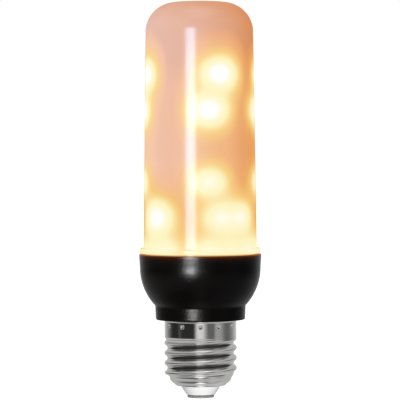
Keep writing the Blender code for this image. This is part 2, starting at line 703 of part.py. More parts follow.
def make_core_cap(bulb):
    """Moulded cap that closes the top of the core."""
    bottom = CORE_TOP + SEAT_GAP
    outline = [
        (SPIGOT_RADIUS - SPIGOT_WALL, bottom - CAP_SPIGOT_DEPTH),
        (SPIGOT_RADIUS, bottom - CAP_SPIGOT_DEPTH),
        (SPIGOT_RADIUS, bottom),
        (CORE_RADIUS, bottom),
        (CORE_RADIUS, bottom + CAP_THICKNESS),
    ]
    ceiling = [(SPIGOT_RADIUS - SPIGOT_WALL, bottom)]
    add_piece("core_cap", turned(ceiling + outline, MEDIUM_STEPS, closed=False), bulb)


def led_heights():
    return [FIRST_LED + LED_ROW_PITCH * row for row in range(LED_ROWS)]


def make_led_flex_board(bulb):
    """Flexible board wrapped round the core, open at a seam, with its LEDs."""
    seam_angle = FLEX_SEAM / CORE_RADIUS
    column_angle = (2 * math.pi - seam_angle) / LED_COLUMNS
    flat_to_corner = 1 / math.cos(column_angle / 2)
    inside = (CORE_RADIUS + SEAT_GAP) * flat_to_corner
    outside = (CORE_RADIUS + SEAT_GAP + FLEX_THICKNESS) * flat_to_corner
    first_edge = math.radians(LED_TURN_DEGREES + 90) + seam_angle / 2
    heights = [FIRST_LED - FLEX_MARGIN]
    for height in led_heights():
        heights += [height - LED_HEIGHT / 2, height + LED_HEIGHT / 2]
    heights.append(TOP_LED + FLEX_MARGIN)
    shape = bmesh.new()
    outer = []
    inner = []
    for column in range(LED_COLUMNS + 1):
        angle = first_edge + column_angle * column
        x, y = math.cos(angle), math.sin(angle)
        outer.append([shape.verts.new((outside * x, outside * y, z)) for z in heights])
        ends = (heights[0], heights[-1])
        inner.append([shape.verts.new((inside * x, inside * y, z)) for z in ends])
    leds = []
    for column in range(LED_COLUMNS):
        here, after = outer[column], outer[column + 1]
        for row in range(len(heights) - 1):
            face = shape.faces.new((here[row], after[row], after[row + 1], here[row + 1]))
            led_row, above_led = divmod(row - 1, 2)
            if row > 0 and not above_led and (column + led_row) % 2 == 0:
                leds.append(face)
        back_here, back_after = inner[column], inner[column + 1]
        shape.faces.new((back_here[0], back_here[1], back_after[1], back_after[0]))
        shape.faces.new((back_here[0], back_after[0], after[0], here[0]))
        shape.faces.new((here[-1], after[-1], back_after[1], back_here[1]))
    shape.faces.new((inner[0][0], *outer[0], inner[0][1]))
    shape.faces.new((inner[-1][1], *reversed(outer[-1]), inner[-1][0]))
    raised = bmesh.ops.extrude_discrete_faces(shape, faces=leds)["faces"]
    for face in raised:
        face.normal_update()
        bmesh.ops.translate(shape, vec=face.normal * LED_RISE, verts=face.verts)
    add_piece("led_flex_board", shape, bulb)


def make_control_board(bulb):
    """Round board in the spigot, with the controller and the LED board's header."""
    radius = SPIGOT_BORE - SEAT_GAP
    outline = [(radius, CONTROL_BOARD_BOTTOM), (radius, CONTROL_BOARD_TOP)]
    add_piece("control_board", turned(outline, MEDIUM_STEPS, closed=False), bulb)
    parts = (("controller_chip", CONTROLLER_SIZE, 1), ("board_header", HEADER_SIZE, -1))
    for name, size, side in parts:
        length, width, height = size
        reach = math.sqrt(radius ** 2 - (width / 2) ** 2) - CONTROL_PARTS_MARGIN
        seat = CONTROL_BOARD_TOP + SEAT_GAP
        centre = (side * (reach - length / 2), 0.0, seat + height / 2)
        add_piece(name, block(size, centre), bulb)


def make_driver_board(bulb):
    """Upright board in the neck, with chamfered lower corners."""
    half, corner = BOARD_HALF_WIDTH, BOARD_CORNER
    outline = [
        (-half + corner, BOARD_BOTTOM),
        (half - corner, BOARD_BOTTOM),
        (half, BOARD_BOTTOM + corner),
        (half, BOARD_TOP),
        (-half, BOARD_TOP),
        (-half, BOARD_BOTTOM + corner),
    ]
    shape = bmesh.new()
    add_prism(shape, outline, BOARD_FRONT, BOARD_BACK, along_y)
    add_piece("driver_board", shape, bulb)


def capacitor_shape(radius, height):
    """Electrolytic can with a crimped groove above its foot."""
    outline = [
        (radius - CAN_GROOVE, 0.0),
        (radius, CAN_GROOVE),
        (radius, CAN_FOOT - CAN_GROOVE),
        (radius - CAN_GROOVE, CAN_FOOT),
        (radius, CAN_FOOT + CAN_GROOVE),
        (radius, height - CAN_GROOVE),
        (radius - CAN_GROOVE, height),
    ]
    return turned(outline, SMALL_STEPS, closed=False)


def make_driver_parts(bulb):
    """What the driver board carries: cans, choke, fuse resistor and two chips."""
    front = BOARD_FRONT - SEAT_GAP
    top = BOARD_TOP - TOP_PARTS_BELOW_EDGE
    bottom = BOARD_BOTTOM + BOTTOM_PARTS_ABOVE_EDGE
    side = 2 * WIRE_RADIUS
    smoothing = capacitor_shape(SMOOTHING_RADIUS, SMOOTHING_HEIGHT)
    place = (-SMOOTHING_RADIUS - side, front - SMOOTHING_RADIUS, top - SMOOTHING_HEIGHT)
    add_leads(add_piece("smoothing_capacitor", smoothing, bulb, place), bulb)

    flange, core = CHOKE_FLANGE, CHOKE_CORE_RADIUS
    drum = [
        (CHOKE_RADIUS, 0.0),
        (CHOKE_RADIUS, flange),
        (core, flange),
        (core, CHOKE_HEIGHT - flange),
        (CHOKE_RADIUS, CHOKE_HEIGHT - flange),
        (CHOKE_RADIUS, CHOKE_HEIGHT),
    ]
    place = (CHOKE_RADIUS + side, front - CHOKE_RADIUS, top - CHOKE_HEIGHT)
    add_leads(add_piece("choke", turned(drum, SMALL_STEPS, closed=False), bulb, place), bulb)

    output = capacitor_shape(OUTPUT_RADIUS, OUTPUT_HEIGHT)
    place = (-OUTPUT_RADIUS - COMPONENT_SPACING / 2, front - OUTPUT_RADIUS, bottom)
    add_leads(add_piece("output_capacitor", output, bulb, place), bulb)

    lead, body = FUSE_LEAD_RADIUS, FUSE_RADIUS
    low = FUSE_LEAD_LENGTH
    high = FUSE_LEAD_LENGTH + FUSE_HEIGHT
    fuse = [
        (lead, 0.0),
        (lead, low),
        (body, low + lead),
        (body, high - lead),
        (lead, high),
        (lead, high + FUSE_LEAD_LENGTH),
    ]
    place = (FUSE_RADIUS + COMPONENT_SPACING, front - FUSE_RADIUS, bottom - FUSE_LEAD_LENGTH)
    add_piece("fuse_resistor", turned(fuse, SMALL_STEPS, closed=False), bulb, place)

    add_chip("bridge_rectifier", RECTIFIER_SIZE, 2, bottom + RECTIFIER_SIZE[2], bulb)
    add_chip("driver_chip", DRIVER_CHIP_SIZE, 4, top - DRIVER_CHIP_SIZE[2], bulb)


def add_leads(body, bulb):
    """Two bent leads from the foot of an upright part back to the driver board."""
    x, y, foot = body.location
    half = LEAD_THICKNESS / 2
    board = BOARD_FRONT - SEAT_GAP
    bent_lead = [
        (y - half, foot + LEAD_THICKNESS),
        (y - half, foot - LEAD_DROP),
        (board, foot - LEAD_DROP),
        (board, foot - LEAD_DROP + LEAD_THICKNESS),
        (y + half, foot - LEAD_DROP + LEAD_THICKNESS),
        (y + half, foot + LEAD_THICKNESS),
    ]
    leads = bmesh.new()
    for side in (-1, 1):
        middle = x + side * LEAD_SPACING / 2
        add_prism(leads, bent_lead, middle - half, middle + half, along_x)
    combine(body, add_tool(f"{body.name}_leads", leads, bulb), "UNION")


def add_chip(name, size, legs_per_side, height, bulb):
    """A chip on the back of the driver board, with bent legs above and below."""
    thickness, width = size[1:]
    foot = BOARD_BACK + SEAT_GAP
    body_middle = foot + CHIP_LEG_THICKNESS + thickness / 2
    body = add_piece(name, block(size, (0.0, body_middle, height)), bulb)
    half = CHIP_LEG_THICKNESS / 2
    bent_leg = [
        (-half, body_middle + half),
        (CHIP_LEG_BEND + half, body_middle + half),
        (CHIP_LEG_BEND + half, foot + CHIP_LEG_THICKNESS),
        (CHIP_LEG_REACH, foot + CHIP_LEG_THICKNESS),
        (CHIP_LEG_REACH, foot),
        (CHIP_LEG_BEND - half, foot),
        (CHIP_LEG_BEND - half, body_middle - half),
        (-half, body_middle - half),
    ]
    legs = bmesh.new()
    for side in (-1, 1):
        edge = height + side * width / 2
        outline = [(y, edge + side * out) for out, y in bent_leg]
        for leg in range(legs_per_side):
            x = (leg - (legs_per_side - 1) / 2) * CHIP_LEG_PITCH
            add_prism(legs, outline, x - CHIP_LEG_WIDTH / 2, x + CHIP_LEG_WIDTH / 2, along_x)
    combine(body, add_tool(f"{name}_legs", legs, bulb), "UNION")


def add_wire(name, route, bulb):
    """A round wire along a smooth curve through its route's points."""
    points = smooth_route([Vector(point) for point in route], 3)
    curve = bpy.data.curves.new(name, "CURVE")
    curve.dimensions = "3D"
    curve.bevel_depth = WIRE_RADIUS
    curve.bevel_resolution = 2
    curve.use_fill_caps = True
    spline = curve.splines.new("POLY")
    spline.points.add(len(points) - 1)
    for place, point in zip(spline.points, points):
        place.co = (*point, 1.0)
    curve.materials.append(finish(name))
    wire = bpy.data.objects.new(name, curve)
    bpy.context.scene.collection.objects.link(wire)
    wire.parent = bulb


def smooth_route(route, steps):
    """Points of a Catmull-Rom curve through every point of the route."""
    padded = [2 * route[0] - route[1], *route, 2 * route[-1] - route[-2]]
    points = []
    for before, start, end, after in zip(padded, padded[1:], padded[2:], padded[3:]):
        for step in range(steps):
            t = step / steps
            points.append(0.5 * (
                2 * start + (end - before) * t
                + (2 * before - 5 * start + 4 * end - after) * t ** 2
                + (3 * start - before - 3 * end + after) * t ** 3
            ))
    points.append(route[-1])
    return points


def make_wires(bulb):
    """Live wire to the fuse, neutral wire from the shell, and the LED feed."""
    front = BOARD_FRONT - SEAT_GAP
    contact_top = CONTACT_HEAD + SHANK_LENGTH
    fuse_x = FUSE_RADIUS + COMPONENT_SPACING
    fuse_y = front - FUSE_RADIUS
    fuse_foot = BOARD_BOTTOM + BOTTOM_PARTS_ABOVE_EDGE - FUSE_LEAD_LENGTH
    add_wire("live_wire", [
        (0.0, 0.0, contact_top + SEAT_GAP),
        (0.0, 0.0, contact_top + SEAT_GAP + WIRE_RADIUS),
        (
            fuse_x * LIVE_WIRE_BEND,
            fuse_y * LIVE_WIRE_BEND,
            fuse_foot - SEAT_GAP - 2 * WIRE_RADIUS,
        ),
        (fuse_x, fuse_y, fuse_foot - SEAT_GAP),
    ], bulb)

    shell_inside = THREAD_ROOT_RADIUS - SHELL_WALL
    against_shell = shell_inside - SEAT_GAP - WIRE_RADIUS
    below_neck = NECK_BOTTOM - SEAT_GAP - WIRE_RADIUS
    board_edge = BOARD_HALF_WIDTH - BOARD_CORNER - WIRE_RADIUS
    add_wire("neutral_wire", [
        (-against_shell, 0.0, below_neck - WIRE_RADIUS),
        (-against_shell + 2 * WIRE_RADIUS, 0.0, below_neck - WIRE_RADIUS),
        (-board_edge, front - WIRE_RADIUS, NECK_BOTTOM + WIRE_RADIUS),
        (-board_edge, front - WIRE_RADIUS, BOARD_BOTTOM + BOTTOM_PARTS_ABOVE_EDGE),
    ], bulb)

    feed_y = front - WIRE_RADIUS
    feed_foot = BOARD_TOP - FEED_WIRE_REACH
    feed_top = CONTROL_BOARD_BOTTOM - SEAT_GAP
    beside = WIRE_RADIUS + SEAT_GAP / 2
    for name, side in (("feed_wire_red", -1), ("feed_wire_black", 1)):
        add_wire(name, [
            (side * beside, feed_y, feed_foot),
            (side * beside, feed_y, (feed_foot + BOARD_TOP) / 2),
            (side * beside, feed_y, BOARD_TOP - TOP_PARTS_BELOW_EDGE),
            (side * 2 * beside, feed_y - WIRE_RADIUS, feed_top),
        ], bulb)


def main():
    clear_scene()
    bulb = bpy.data.objects.new("bulb", None)
    bpy.context.scene.collection.objects.link(bulb)
    make_centre_contact(bulb)
    make_insulator(bulb)
    make_screw_shell(bulb)
    make_housing(bulb)
    make_diffuser(bulb)
    make_core_base(bulb)
    make_base_screws(bulb)
    make_led_core(bulb)
    make_core_cap(bulb)
    make_led_flex_board(bulb)
    make_control_board(bulb)
    make_driver_board(bulb)
    make_driver_parts(bulb)
    make_wires(bulb)


main()
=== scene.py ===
import math

import bmesh
import bpy
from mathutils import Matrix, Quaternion, Vector


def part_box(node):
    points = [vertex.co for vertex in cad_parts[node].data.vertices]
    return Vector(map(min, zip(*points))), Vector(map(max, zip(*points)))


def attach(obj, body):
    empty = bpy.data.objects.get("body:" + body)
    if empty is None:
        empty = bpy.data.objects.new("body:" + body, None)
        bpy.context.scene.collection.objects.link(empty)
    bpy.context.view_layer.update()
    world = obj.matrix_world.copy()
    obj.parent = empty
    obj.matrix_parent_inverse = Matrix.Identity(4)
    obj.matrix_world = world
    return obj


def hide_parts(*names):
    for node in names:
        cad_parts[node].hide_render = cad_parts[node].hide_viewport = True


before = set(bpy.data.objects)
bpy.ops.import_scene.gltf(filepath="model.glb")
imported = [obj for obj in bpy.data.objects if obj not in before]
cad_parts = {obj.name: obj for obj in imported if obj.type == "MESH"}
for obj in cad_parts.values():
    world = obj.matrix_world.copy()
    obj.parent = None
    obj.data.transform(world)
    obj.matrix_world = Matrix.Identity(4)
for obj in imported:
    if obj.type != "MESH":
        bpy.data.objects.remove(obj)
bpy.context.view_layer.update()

bl_info = {
    "name": "Flame effect LED bulb",
    "version": (1, 0, 0),
    "blender": (4, 5, 0),
    "location": "View3D > Sidebar > Flame bulb",
    "description": "Builds the frosted cover, housing, screw cap and LEDs of a flame effect bulb",
    "category": "Object",
}

MM = 0.001
BODY = "root"
FRONT = math.radians(-90)
FULL_TURN = 2 * math.pi
# Rounding of a moulded or turned edge
EDGE = 0.35 * MM


def node_low(node):
    """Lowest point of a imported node; the scene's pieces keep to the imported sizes."""
    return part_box(node)[0].z


def node_high(node):
    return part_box(node)[1].z


def node_radius(node):
    low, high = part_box(node)
    return max(high.x, high.y, -low.x, -low.y)


# Settings that a user would change


def length(name, description, millimetres):
    return bpy.props.FloatProperty(
        name=name, description=description, default=millimetres * MM, unit="LENGTH", precision=5,
    )


def turning(name, description, degrees):
    return bpy.props.FloatProperty(
        name=name, description=description, default=math.radians(degrees), subtype="ANGLE",
    )


def colour(name, description, default):
    return bpy.props.FloatVectorProperty(
        name=name, description=description, default=default, subtype="COLOR", size=3,
        min=0.0, max=1.0,
    )


def amount(name, description, default):
    return bpy.props.FloatProperty(name=name, description=description, default=default)


def count(name, description, default):
    return bpy.props.IntProperty(name=name, description=description, default=default, min=1)


class CoverSettings(bpy.types.PropertyGroup):
    """The frosted cover that hides the LEDs."""

    wall: length("Wall", "Thickness of the frosted wall", 1.2)
    tube_radius: length("Tube radius", "Outer radius of the tube above its flange", 20.37)
    top_radius: length("Top radius", "Outer radius of the tube where the shoulder starts", 19.33)
    shoulder_radius: length("Shoulder radius", "Radius of the rounded shoulder", 10.6)
    flange_radius: length("Flange radius", "Outer radius of the bead on the housing", 21.75)
    flange_height: length("Flange height", "Height of the bead on the housing", 1.9)
    flange_edge: length("Flange edge", "Rounding of the bead's upper edge", 0.45)
    plug_radius: length("Plug radius", "Outer radius of the plug inside the housing", 19.8)
    snap_depth: length("Snap bead", "How far the snap bead stands out of the plug", 0.6)
    snap_half: length("Snap half height", "Half the height of the snap bead", 0.4)
    milk: colour("Frosted plastic", "Colour of the unlit cover", (0.16, 0.36, 0.48))
    # Painted shade: the cover's base colour is darkest below the first of these heights and full above the
    # second
    shade_full_height: length("Dull height", "Below this the frosting returns little light", 55.0)
    shade_gone_height: length("Clear height", "Above this the frosting returns all its light", 84.0)
    stray_light: amount("Stray light", "Least light beside the LEDs, from inside the cover", 0.0075)
    stray_fade: length("Stray light's fade", "How far below the board's top it is full", 22.0)
    bead_light: amount("Bead light", "Least light in the thick bead, which spreads it", 0.12)
    foot_light: amount("Bead foot light", "Most light in the bead's lower edge", 0.03)
    roughness: amount("Roughness", "Roughness of the cover's surface", 0.195)


class HousingSettings(bpy.types.PropertyGroup):
    """The black bowl between the cover and the screw cap."""

    wall: length("Wall", "Thickness of the bowl", 1.65)
    collar_radius: length("Collar radius", "Outer radius at the top of the collar", 16.3)
    collar_taper: length("Collar taper", "How much narrower the collar's foot is", 0.2)
    collar_height: length("Collar height", "From the collar's underside to the crease", 5.0)
    bowl_radius: length("Bowl radius", "Outer radius where the bowl runs upright", 21.75)
    bowl_arc: length("Bowl arc", "Radius of the bowl's rounded side", 20.0)
    rim_flare: length("Rim flare", "How much wider the rim is than the bowl", 0.28)
    neck_radius: length("Neck radius", "Radius of the neck inside the shell", 12.31)
    neck_lower_radius: length("Lower neck", "Radius of the neck inside the thread", 11.35)
    neck_wall: length("Neck wall", "Thickness of the neck", 1.2)
    neck_step: length("Neck step", "Height of the cone between the neck's two radii", 1.0)
    crease: length("Crease", "How far the crease is rounded below the bowl", 0.12)
    flare_rise: length("Flare rise", "How far above the bowl's arc its rim starts to flare", 0.2)
    floor_thickness: length("Floor", "Thickness of the collar's floor", 2.0)
    recess_radius: length("Lip recess", "Radius of the recess for the shell's lip", 13.6)
    black: colour("Black plastic", "Colour of the housing", (0.0085, 0.0054, 0.0044))
    roughness: amount("Roughness", "Roughness of the satin surface", 0.22)


class CapSettings(bpy.types.PropertyGroup):
    """The rolled E27 shell, its insulator and its centre contact."""

    wall: length("Sheet", "Thickness of the rolled sheet", 0.35)
    crest_radius: length("Crest radius", "Radius over the thread's crests", 13.1)
    depth: length("Thread depth", "From crest to root", 1.1)
    pitch: length("Pitch", "Distance between two turns", 3.629)
    crest_height: length("Crest height", "Height of a crest on the +X side", 14.32)
    skirt_drop: length("Skirt drop", "How much narrower the skirt is than the crests", 0.14)
    cone_radius: length("Cone radius", "Radius where the foot meets the thread", 11.2)
    cone_height: length("Cone height", "Height of the rounded foot", 2.8)
    foot_radius: length("Foot radius", "Radius of the flat underside", 9.3)
    foot_bend: length("Foot bend", "Rounding between the underside and the foot", 0.6)
    foot_spread: length("Foot spread", "How much wider the foot is above that bend", 0.15)
    foot_belly: length("Foot belly", "How far the foot bulges", 0.45)
    thread_length: length("Thread length", "Height of the threaded part", 14.8)
    lip_height: length("Lip height", "Height of the flared lip", 0.6)
    lip_flare: length("Lip flare", "How far the lip stands out", 0.34)
    stake_count: count("Stakes", "Number of stake dimples round the skirt", 12)
    stake_drop: length("Stake drop", "From the lip down to the dimples", 2.15)
    stake_radius: length("Stake radius", "Radius of a dimple", 0.72)
    stake_depth: length("Stake depth", "Depth of a dimple", 0.45)
    throat_radius: length("Throat radius", "Radius of the insulator in the shell's hole", 7.2)
    tip_radius: length("Tip radius", "Radius of the insulator's lower end", 5.4)
    tip_edge: length("Tip edge", "Rounding of the insulator's lower edge", 0.4)
    tip_spread: length("Tip spread", "How much wider the cone is above that edge", 0.05)
    cone_belly: length("Cone belly", "How far the insulator's cone bulges", 0.06)
    flange_height: length("Insulator flange", "Height of its flange inside the shell", 1.6)
    boss_radius: length("Boss", "Radius of the insulator's boss round the shank", 3.4)
    shank_radius: length("Shank radius", "Radius of the contact's shank", 1.25)
    head_height: length("Contact head", "Thickness of the contact's head", 0.8)
    gap: length("Seat gap", "Clearance between pieces that touch", 0.3)


class FlameSettings(bpy.types.PropertyGroup):
    """The LEDs, and which of them are lit at this moment of the flame."""

    rows: count("Rows", "Rows of LEDs up the core", 7)
    per_row: count("LEDs in a row", "LEDs round the core", 15)
    turn: turning("Turn", "Turn of the board's middle from the front", -8)
    seam: length("Seam", "Gap between the ends of the wrapped board", 1.0)
    package_width: length("LED width", "Width of an LED", 2.8)
    package_height: length("LED height", "Height of an LED", 3.5)
    package_rise: length("LED rise", "How far an LED stands off its board", 0.8)
    package_rim: length("LED rim", "Width of the rim round an LED's window", 0.35)
    margin: length("Margin", "Board beyond the first and last row", 3.5)
    thickness: length("Board", "Thickness of the flexible board", 0.35)
    sink: length("Sink", "How deep an LED's flat back lies in the curved board", 0.1)


# Meshes


def arc(centre, radius, start, end, steps):
    """Points of (radius, height) along an arc, in degrees, both ends included."""
    points = []
    for step in range(steps + 1):
        angle = math.radians(start + (end - start) * step / steps)
        points.append((
            centre[0] + radius * math.cos(angle),
            centre[1] + radius * math.sin(angle),
        ))
    return points


def run(start, end, steps, belly=0.0, upright=False):
    """Points from start up to, and without, end; they bulge, or leave and arrive upright."""
    points = []
    for step in range(steps):
        share = step / steps
        across = share * share * (3 - 2 * share) if upright else share
        points.append((
            start[0] + (end[0] - start[0]) * across + belly * math.sin(math.pi * share),
            start[1] + (end[1] - start[1]) * share,
        ))
    return points


def around(radius, angle, height):
    return radius * math.cos(angle), radius * math.sin(angle), height


def bridge(shape, lower, upper):
    """A band of faces between two closed loops."""
    for here in range(len(lower)):
        after = (here + 1) % len(lower)
        shape.faces.new((lower[here], lower[after], upper[after], upper[here]))


def turned(name, outline, steps, closed=True):
    """Spin an outline round the axis: up the outer side and down the inner side."""
    shape = bmesh.new()
    loops = []
    for radius, height in outline:
        angles = [FRONT + FULL_TURN * step / steps for step in range(steps)]
        loops.append([shape.verts.new(around(radius, angle, height)) for angle in angles])
    pairs = list(zip(loops, loops[1:]))
    if closed:
        pairs.append((loops[-1], loops[0]))
    for lower, upper in pairs:
        bridge(shape, lower, upper)
    if not closed:
        for loop, top in ((loops[0], False), (loops[-1], True)):
            close_end(shape, loop, top)
    return as_object(name, shape)


def close_end(shape, loop, top):
    """Close a ring with a fan round its middle."""
    steps = len(loop)
    middle = shape.verts.new((0.0, 0.0, loop[0].co.z))
    for here in range(steps):
        after = (here + 1) % steps
        corners = (loop[here], loop[after], middle)
        shape.faces.new(corners if top else tuple(reversed(corners)))


def as_object(name, shape):
    mesh = bpy.data.meshes.new(name)
    shape.to_mesh(mesh)
    shape.free()
    mesh.shade_smooth()
    mesh.set_sharp_from_angle(angle=math.radians(40))
    piece = bpy.data.objects.new(name, mesh)
    bpy.context.scene.collection.objects.link(piece)
    return piece


def settle(piece, material, nodes):
    """Give a piece its body and the nodes it stands for, and a material if it has none."""
    if material is not None:
        piece.data.materials.clear()
        piece.data.materials.append(material)
    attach(piece, BODY)
    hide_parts(*nodes)


# Node trees


def add_node(tree, kind, inputs=None, **settings):
    """A node with its settings, and with its inputs linked or set."""
    node = tree.nodes.new(kind)
    for key, value in settings.items():
        setattr(node, key, value)
    for place, value in (inputs or {}).items():
        feed(tree, node.inputs[place], value)
    return node


def feed(tree, socket, value):
    """Link a socket to another one, or set it to a plain value."""
    if isinstance(value, Value):
        value = value.socket
    if isinstance(value, bpy.types.NodeSocket):
        tree.links.new(value, socket)
    else:
        socket.default_value = value


class Value:
    """A number in a node tree, so that a rule reads as a formula."""

    def __init__(self, tree, socket):
        self.tree = tree
        self.socket = socket

    def __add__(self, other):
        return maths(self.tree, "ADD", self, other)

    def __sub__(self, other):
        return maths(self.tree, "SUBTRACT", self, other)

    def __rsub__(self, other):
        return maths(self.tree, "SUBTRACT", other, self)

    def __mul__(self, other):
        return maths(self.tree, "MULTIPLY", self, other)

    def __truediv__(self, other):
        return maths(self.tree, "DIVIDE", self, other)

    def __neg__(self):
        return self * -1.0

    def __abs__(self):
        return maths(self.tree, "ABSOLUTE", self)


def maths(tree, operation, *parts):
    """A Math node whose inputs are values of the tree or plain numbers."""
    node = add_node(tree, "ShaderNodeMath", dict(enumerate(parts)), operation=operation)
    return Value(tree, node.outputs[0])


def square_root(value):
    return maths(value.tree, "SQRT", value)


def rounded(value):
    return maths(value.tree, "ROUND", value)


def smooth_rise(value, low, high):
    """A smooth step from 0 at low to 1 at high."""
    inputs = {"Value": value, "From Min": low, "From Max": high}
    node = add_node(value.tree, "ShaderNodeMapRange", inputs, interpolation_type="SMOOTHSTEP")
    return Value(value.tree, node.outputs["Result"])


def ramp(value, stops):
    """A Color Ramp with a stop for each (place, colour)."""
    node = add_node(value.tree, "ShaderNodeValToRGB", {"Fac": value})
    band = node.color_ramp
    while len(band.elements) < len(stops):
        band.elements.new(0.5)
    for element, (place, shade) in zip(band.elements, stops):
        element.position = place
        element.color = (*shade, 1.0)
    return Value(value.tree, node.outputs["Color"])


def axis_parts(tree, vector):
    """The X, Y and Z of a vector."""
    split = add_node(tree, "ShaderNodeSeparateXYZ", {0: vector})
    return [Value(tree, part) for part in split.outputs]


def joined(tree, x=0.0, y=0.0, z=0.0):
    """A vector from its three parts."""
    return add_node(tree, "ShaderNodeCombineXYZ", {"X": x, "Y": y, "Z": z}).outputs[0]


def object_height(tree):
    """Height of a shaded point above the bulb's contact."""
    places = add_node(tree, "ShaderNodeTexCoord")
    return axis_parts(tree, places.outputs["Object"])[2]


def stored(tree, name):
    """An attribute that the piece's mesh carries."""
    return Value(tree, add_node(tree, "ShaderNodeAttribute", attribute_name=name).outputs["Fac"])


def edge_on(tree):
    """How nearly a surface is seen edge on, from 0 to 1."""
    return Value(tree, add_node(tree, "ShaderNodeLayerWeight").outputs["Facing"])


def new_material(name, base, roughness, metallic=0.0):
    """A Principled material; returns it with its tree and shader."""
    material = bpy.data.materials.new(name)
    material.use_nodes = True
    tree = material.node_tree
    shader = tree.nodes["Principled BSDF"]
    shader.inputs["Base Color"].default_value = (*base, 1.0)
    shader.inputs["Roughness"].default_value = roughness
    shader.inputs["Metallic"].default_value = metallic
    return material, tree, shader


def grain_group():
    """Fine moulded or plated surface: a varied roughness, a tint mask and a normal."""
    name = "fine surface grain"
    if name in bpy.data.node_groups:
        return bpy.data.node_groups[name]
    group = bpy.data.node_groups.new(name, "ShaderNodeTree")
    sockets = (
        ("Grain Scale", 2000.0), ("Grain Depth", 0.1), ("Cloud Scale", 60.0),
        ("Base Roughness", 0.4), ("Roughness Spread", 0.05), ("Squash", 1.0),
    )
    for label, default in sockets:
        socket = group.interface.new_socket(label, in_out="INPUT", socket_type="NodeSocketFloat")
        socket.default_value = default
    outputs = (
        ("Roughness", "NodeSocketFloat"), ("Mask", "NodeSocketFloat"), ("Normal", "NodeSocketVector"),
    )
    for label, kind in outputs:
        group.interface.new_socket(label, in_out="OUTPUT", socket_type=kind)
    source = add_node(group, "NodeGroupInput").outputs
    places = add_node(group, "ShaderNodeTexCoord").outputs["Object"]
    squash = joined(group, 1.0, 1.0, source["Squash"])
    stretched = add_node(group, "ShaderNodeMapping", {"Vector": places, "Scale": squash})
    grain = add_node(group, "ShaderNodeTexNoise", {
        "Vector": stretched.outputs["Vector"], "Scale": source["Grain Scale"], "Detail": 3.0,
    })
    cloud = add_node(group, "ShaderNodeTexNoise", {
        "Vector": places, "Scale": source["Cloud Scale"], "Detail": 4.0,
    })
    clouds = Value(group, cloud.outputs["Fac"])
    bump = add_node(group, "ShaderNodeBump", {
        "Distance": 0.1 * MM, "Strength": source["Grain Depth"], "Height": grain.outputs["Fac"],
    })
    add_node(group, "NodeGroupOutput", {
        "Roughness": (clouds - 0.5) * source["Roughness Spread"] + source["Base Roughness"],
        "Mask": clouds,
        "Normal": bump.outputs["Normal"],
    })
    return group


def add_grain(tree, shader, base, spread, grain=(2000.0, 0.1), cloud=60.0, tint=0.0, squash=1.0):
    """Run a material through the grain group; tint darkens its colour in clouds."""
    node = add_node(tree, "ShaderNodeGroup", node_tree=grain_group())
    inputs = {
        "Grain Scale": grain[0], "Grain Depth": grain[1], "Cloud Scale": cloud,
        "Base Roughness": base, "Roughness Spread": spread, "Squash": squash,
    }
    for label, value in inputs.items():
        node.inputs[label].default_value = value
    for label in ("Roughness", "Normal"):
        tree.links.new(node.outputs[label], shader.inputs[label])
    if tint:
        shade = Vector(shader.inputs["Base Color"].default_value[:3])
        stops = ((0.25, tuple(shade * (1 - tint))), (0.75, tuple(shade)))
        feed(tree, shader.inputs["Base Color"], ramp(Value(tree, node.outputs["Mask"]), stops))


# The flame: which LEDs are lit, and the light that they throw on the cover

# How bright an LED burns in the flame
DIM, LIT, BRIGHT = 0.2, 0.4, 0.8
# The front half of the board starts with this LED from the seam, and is this many LEDs wide
FIRST_IN_FRONT = 4
HALF_ROUND = 8
# The LEDs that burn in each row, from the bottom up, counted from the left of the front
# half; the back half repeats them
FLAME_ROWS = (
    {DIM: (0, 1, 5), LIT: (2, 4, 6, 7)},
    {BRIGHT: (1,), LIT: (4, 5)},
    {DIM: (7,), LIT: (0, 4)},
    {},
    {LIT: (7,), BRIGHT: (0, 4)},
    {LIT: (7,), BRIGHT: (0, 4)},
    {},
)


def seam_angle(flame):
    return flame.seam / node_radius("led_core")


def column_angle(flame):
    """Every second column of the board carries an LED in a row."""
    return (FULL_TURN - seam_angle(flame)) / (2 * flame.per_row)


def first_column(flame):
    """Turn of the middle of the first column, next to the seam at the back."""
    return FRONT + flame.turn + column_angle(flame) * (0.5 - flame.per_row)


def led_places(flame):
    """(angle, height, row, place in the row) of every LED on its board."""
    low = node_low("led_flex_board") + flame.margin
    high = node_high("led_flex_board") - flame.margin
    pitch = (high - low) / (flame.rows - 1)
    places = []
    for row in range(flame.rows):
        for place in range(flame.per_row):
            angle = first_column(flame) + column_angle(flame) * (2 * place + row % 2)
            places.append((angle, low + pitch * row, row, place))
    return places


def light_sources(flame):
    """(point, direction, brightness) of every lit LED."""
    reach = node_radius("led_flex_board")
    sources = []
    for angle, height, row, place in led_places(flame):
        from_left = (place - FIRST_IN_FRONT) % flame.per_row % HALF_ROUND
        for level, burning in FLAME_ROWS[row % len(FLAME_ROWS)].items():
            if from_left in burning:
                outwards = Vector(around(1.0, angle, 0.0))
                sources.append((Vector(around(reach, angle, height)), outwards, level))
    return sources


def light_at(point, normal, sources, clearance):
    """Light on the inside of the cover, which falls off as the square of distance."""
    total = 0.0
    for source, outwards, level in sources:
        way = point - source
        distance = way.length
        leaving = way.dot(outwards) / distance
        arriving = way.dot(normal) / distance
        if leaving > 0.0 and arriving > 0.0:
            total += level * leaving * arriving * (clearance / distance) ** 2
    return total


# Least light that the scale of equal ratios tells from none
FAINTEST = 0.004


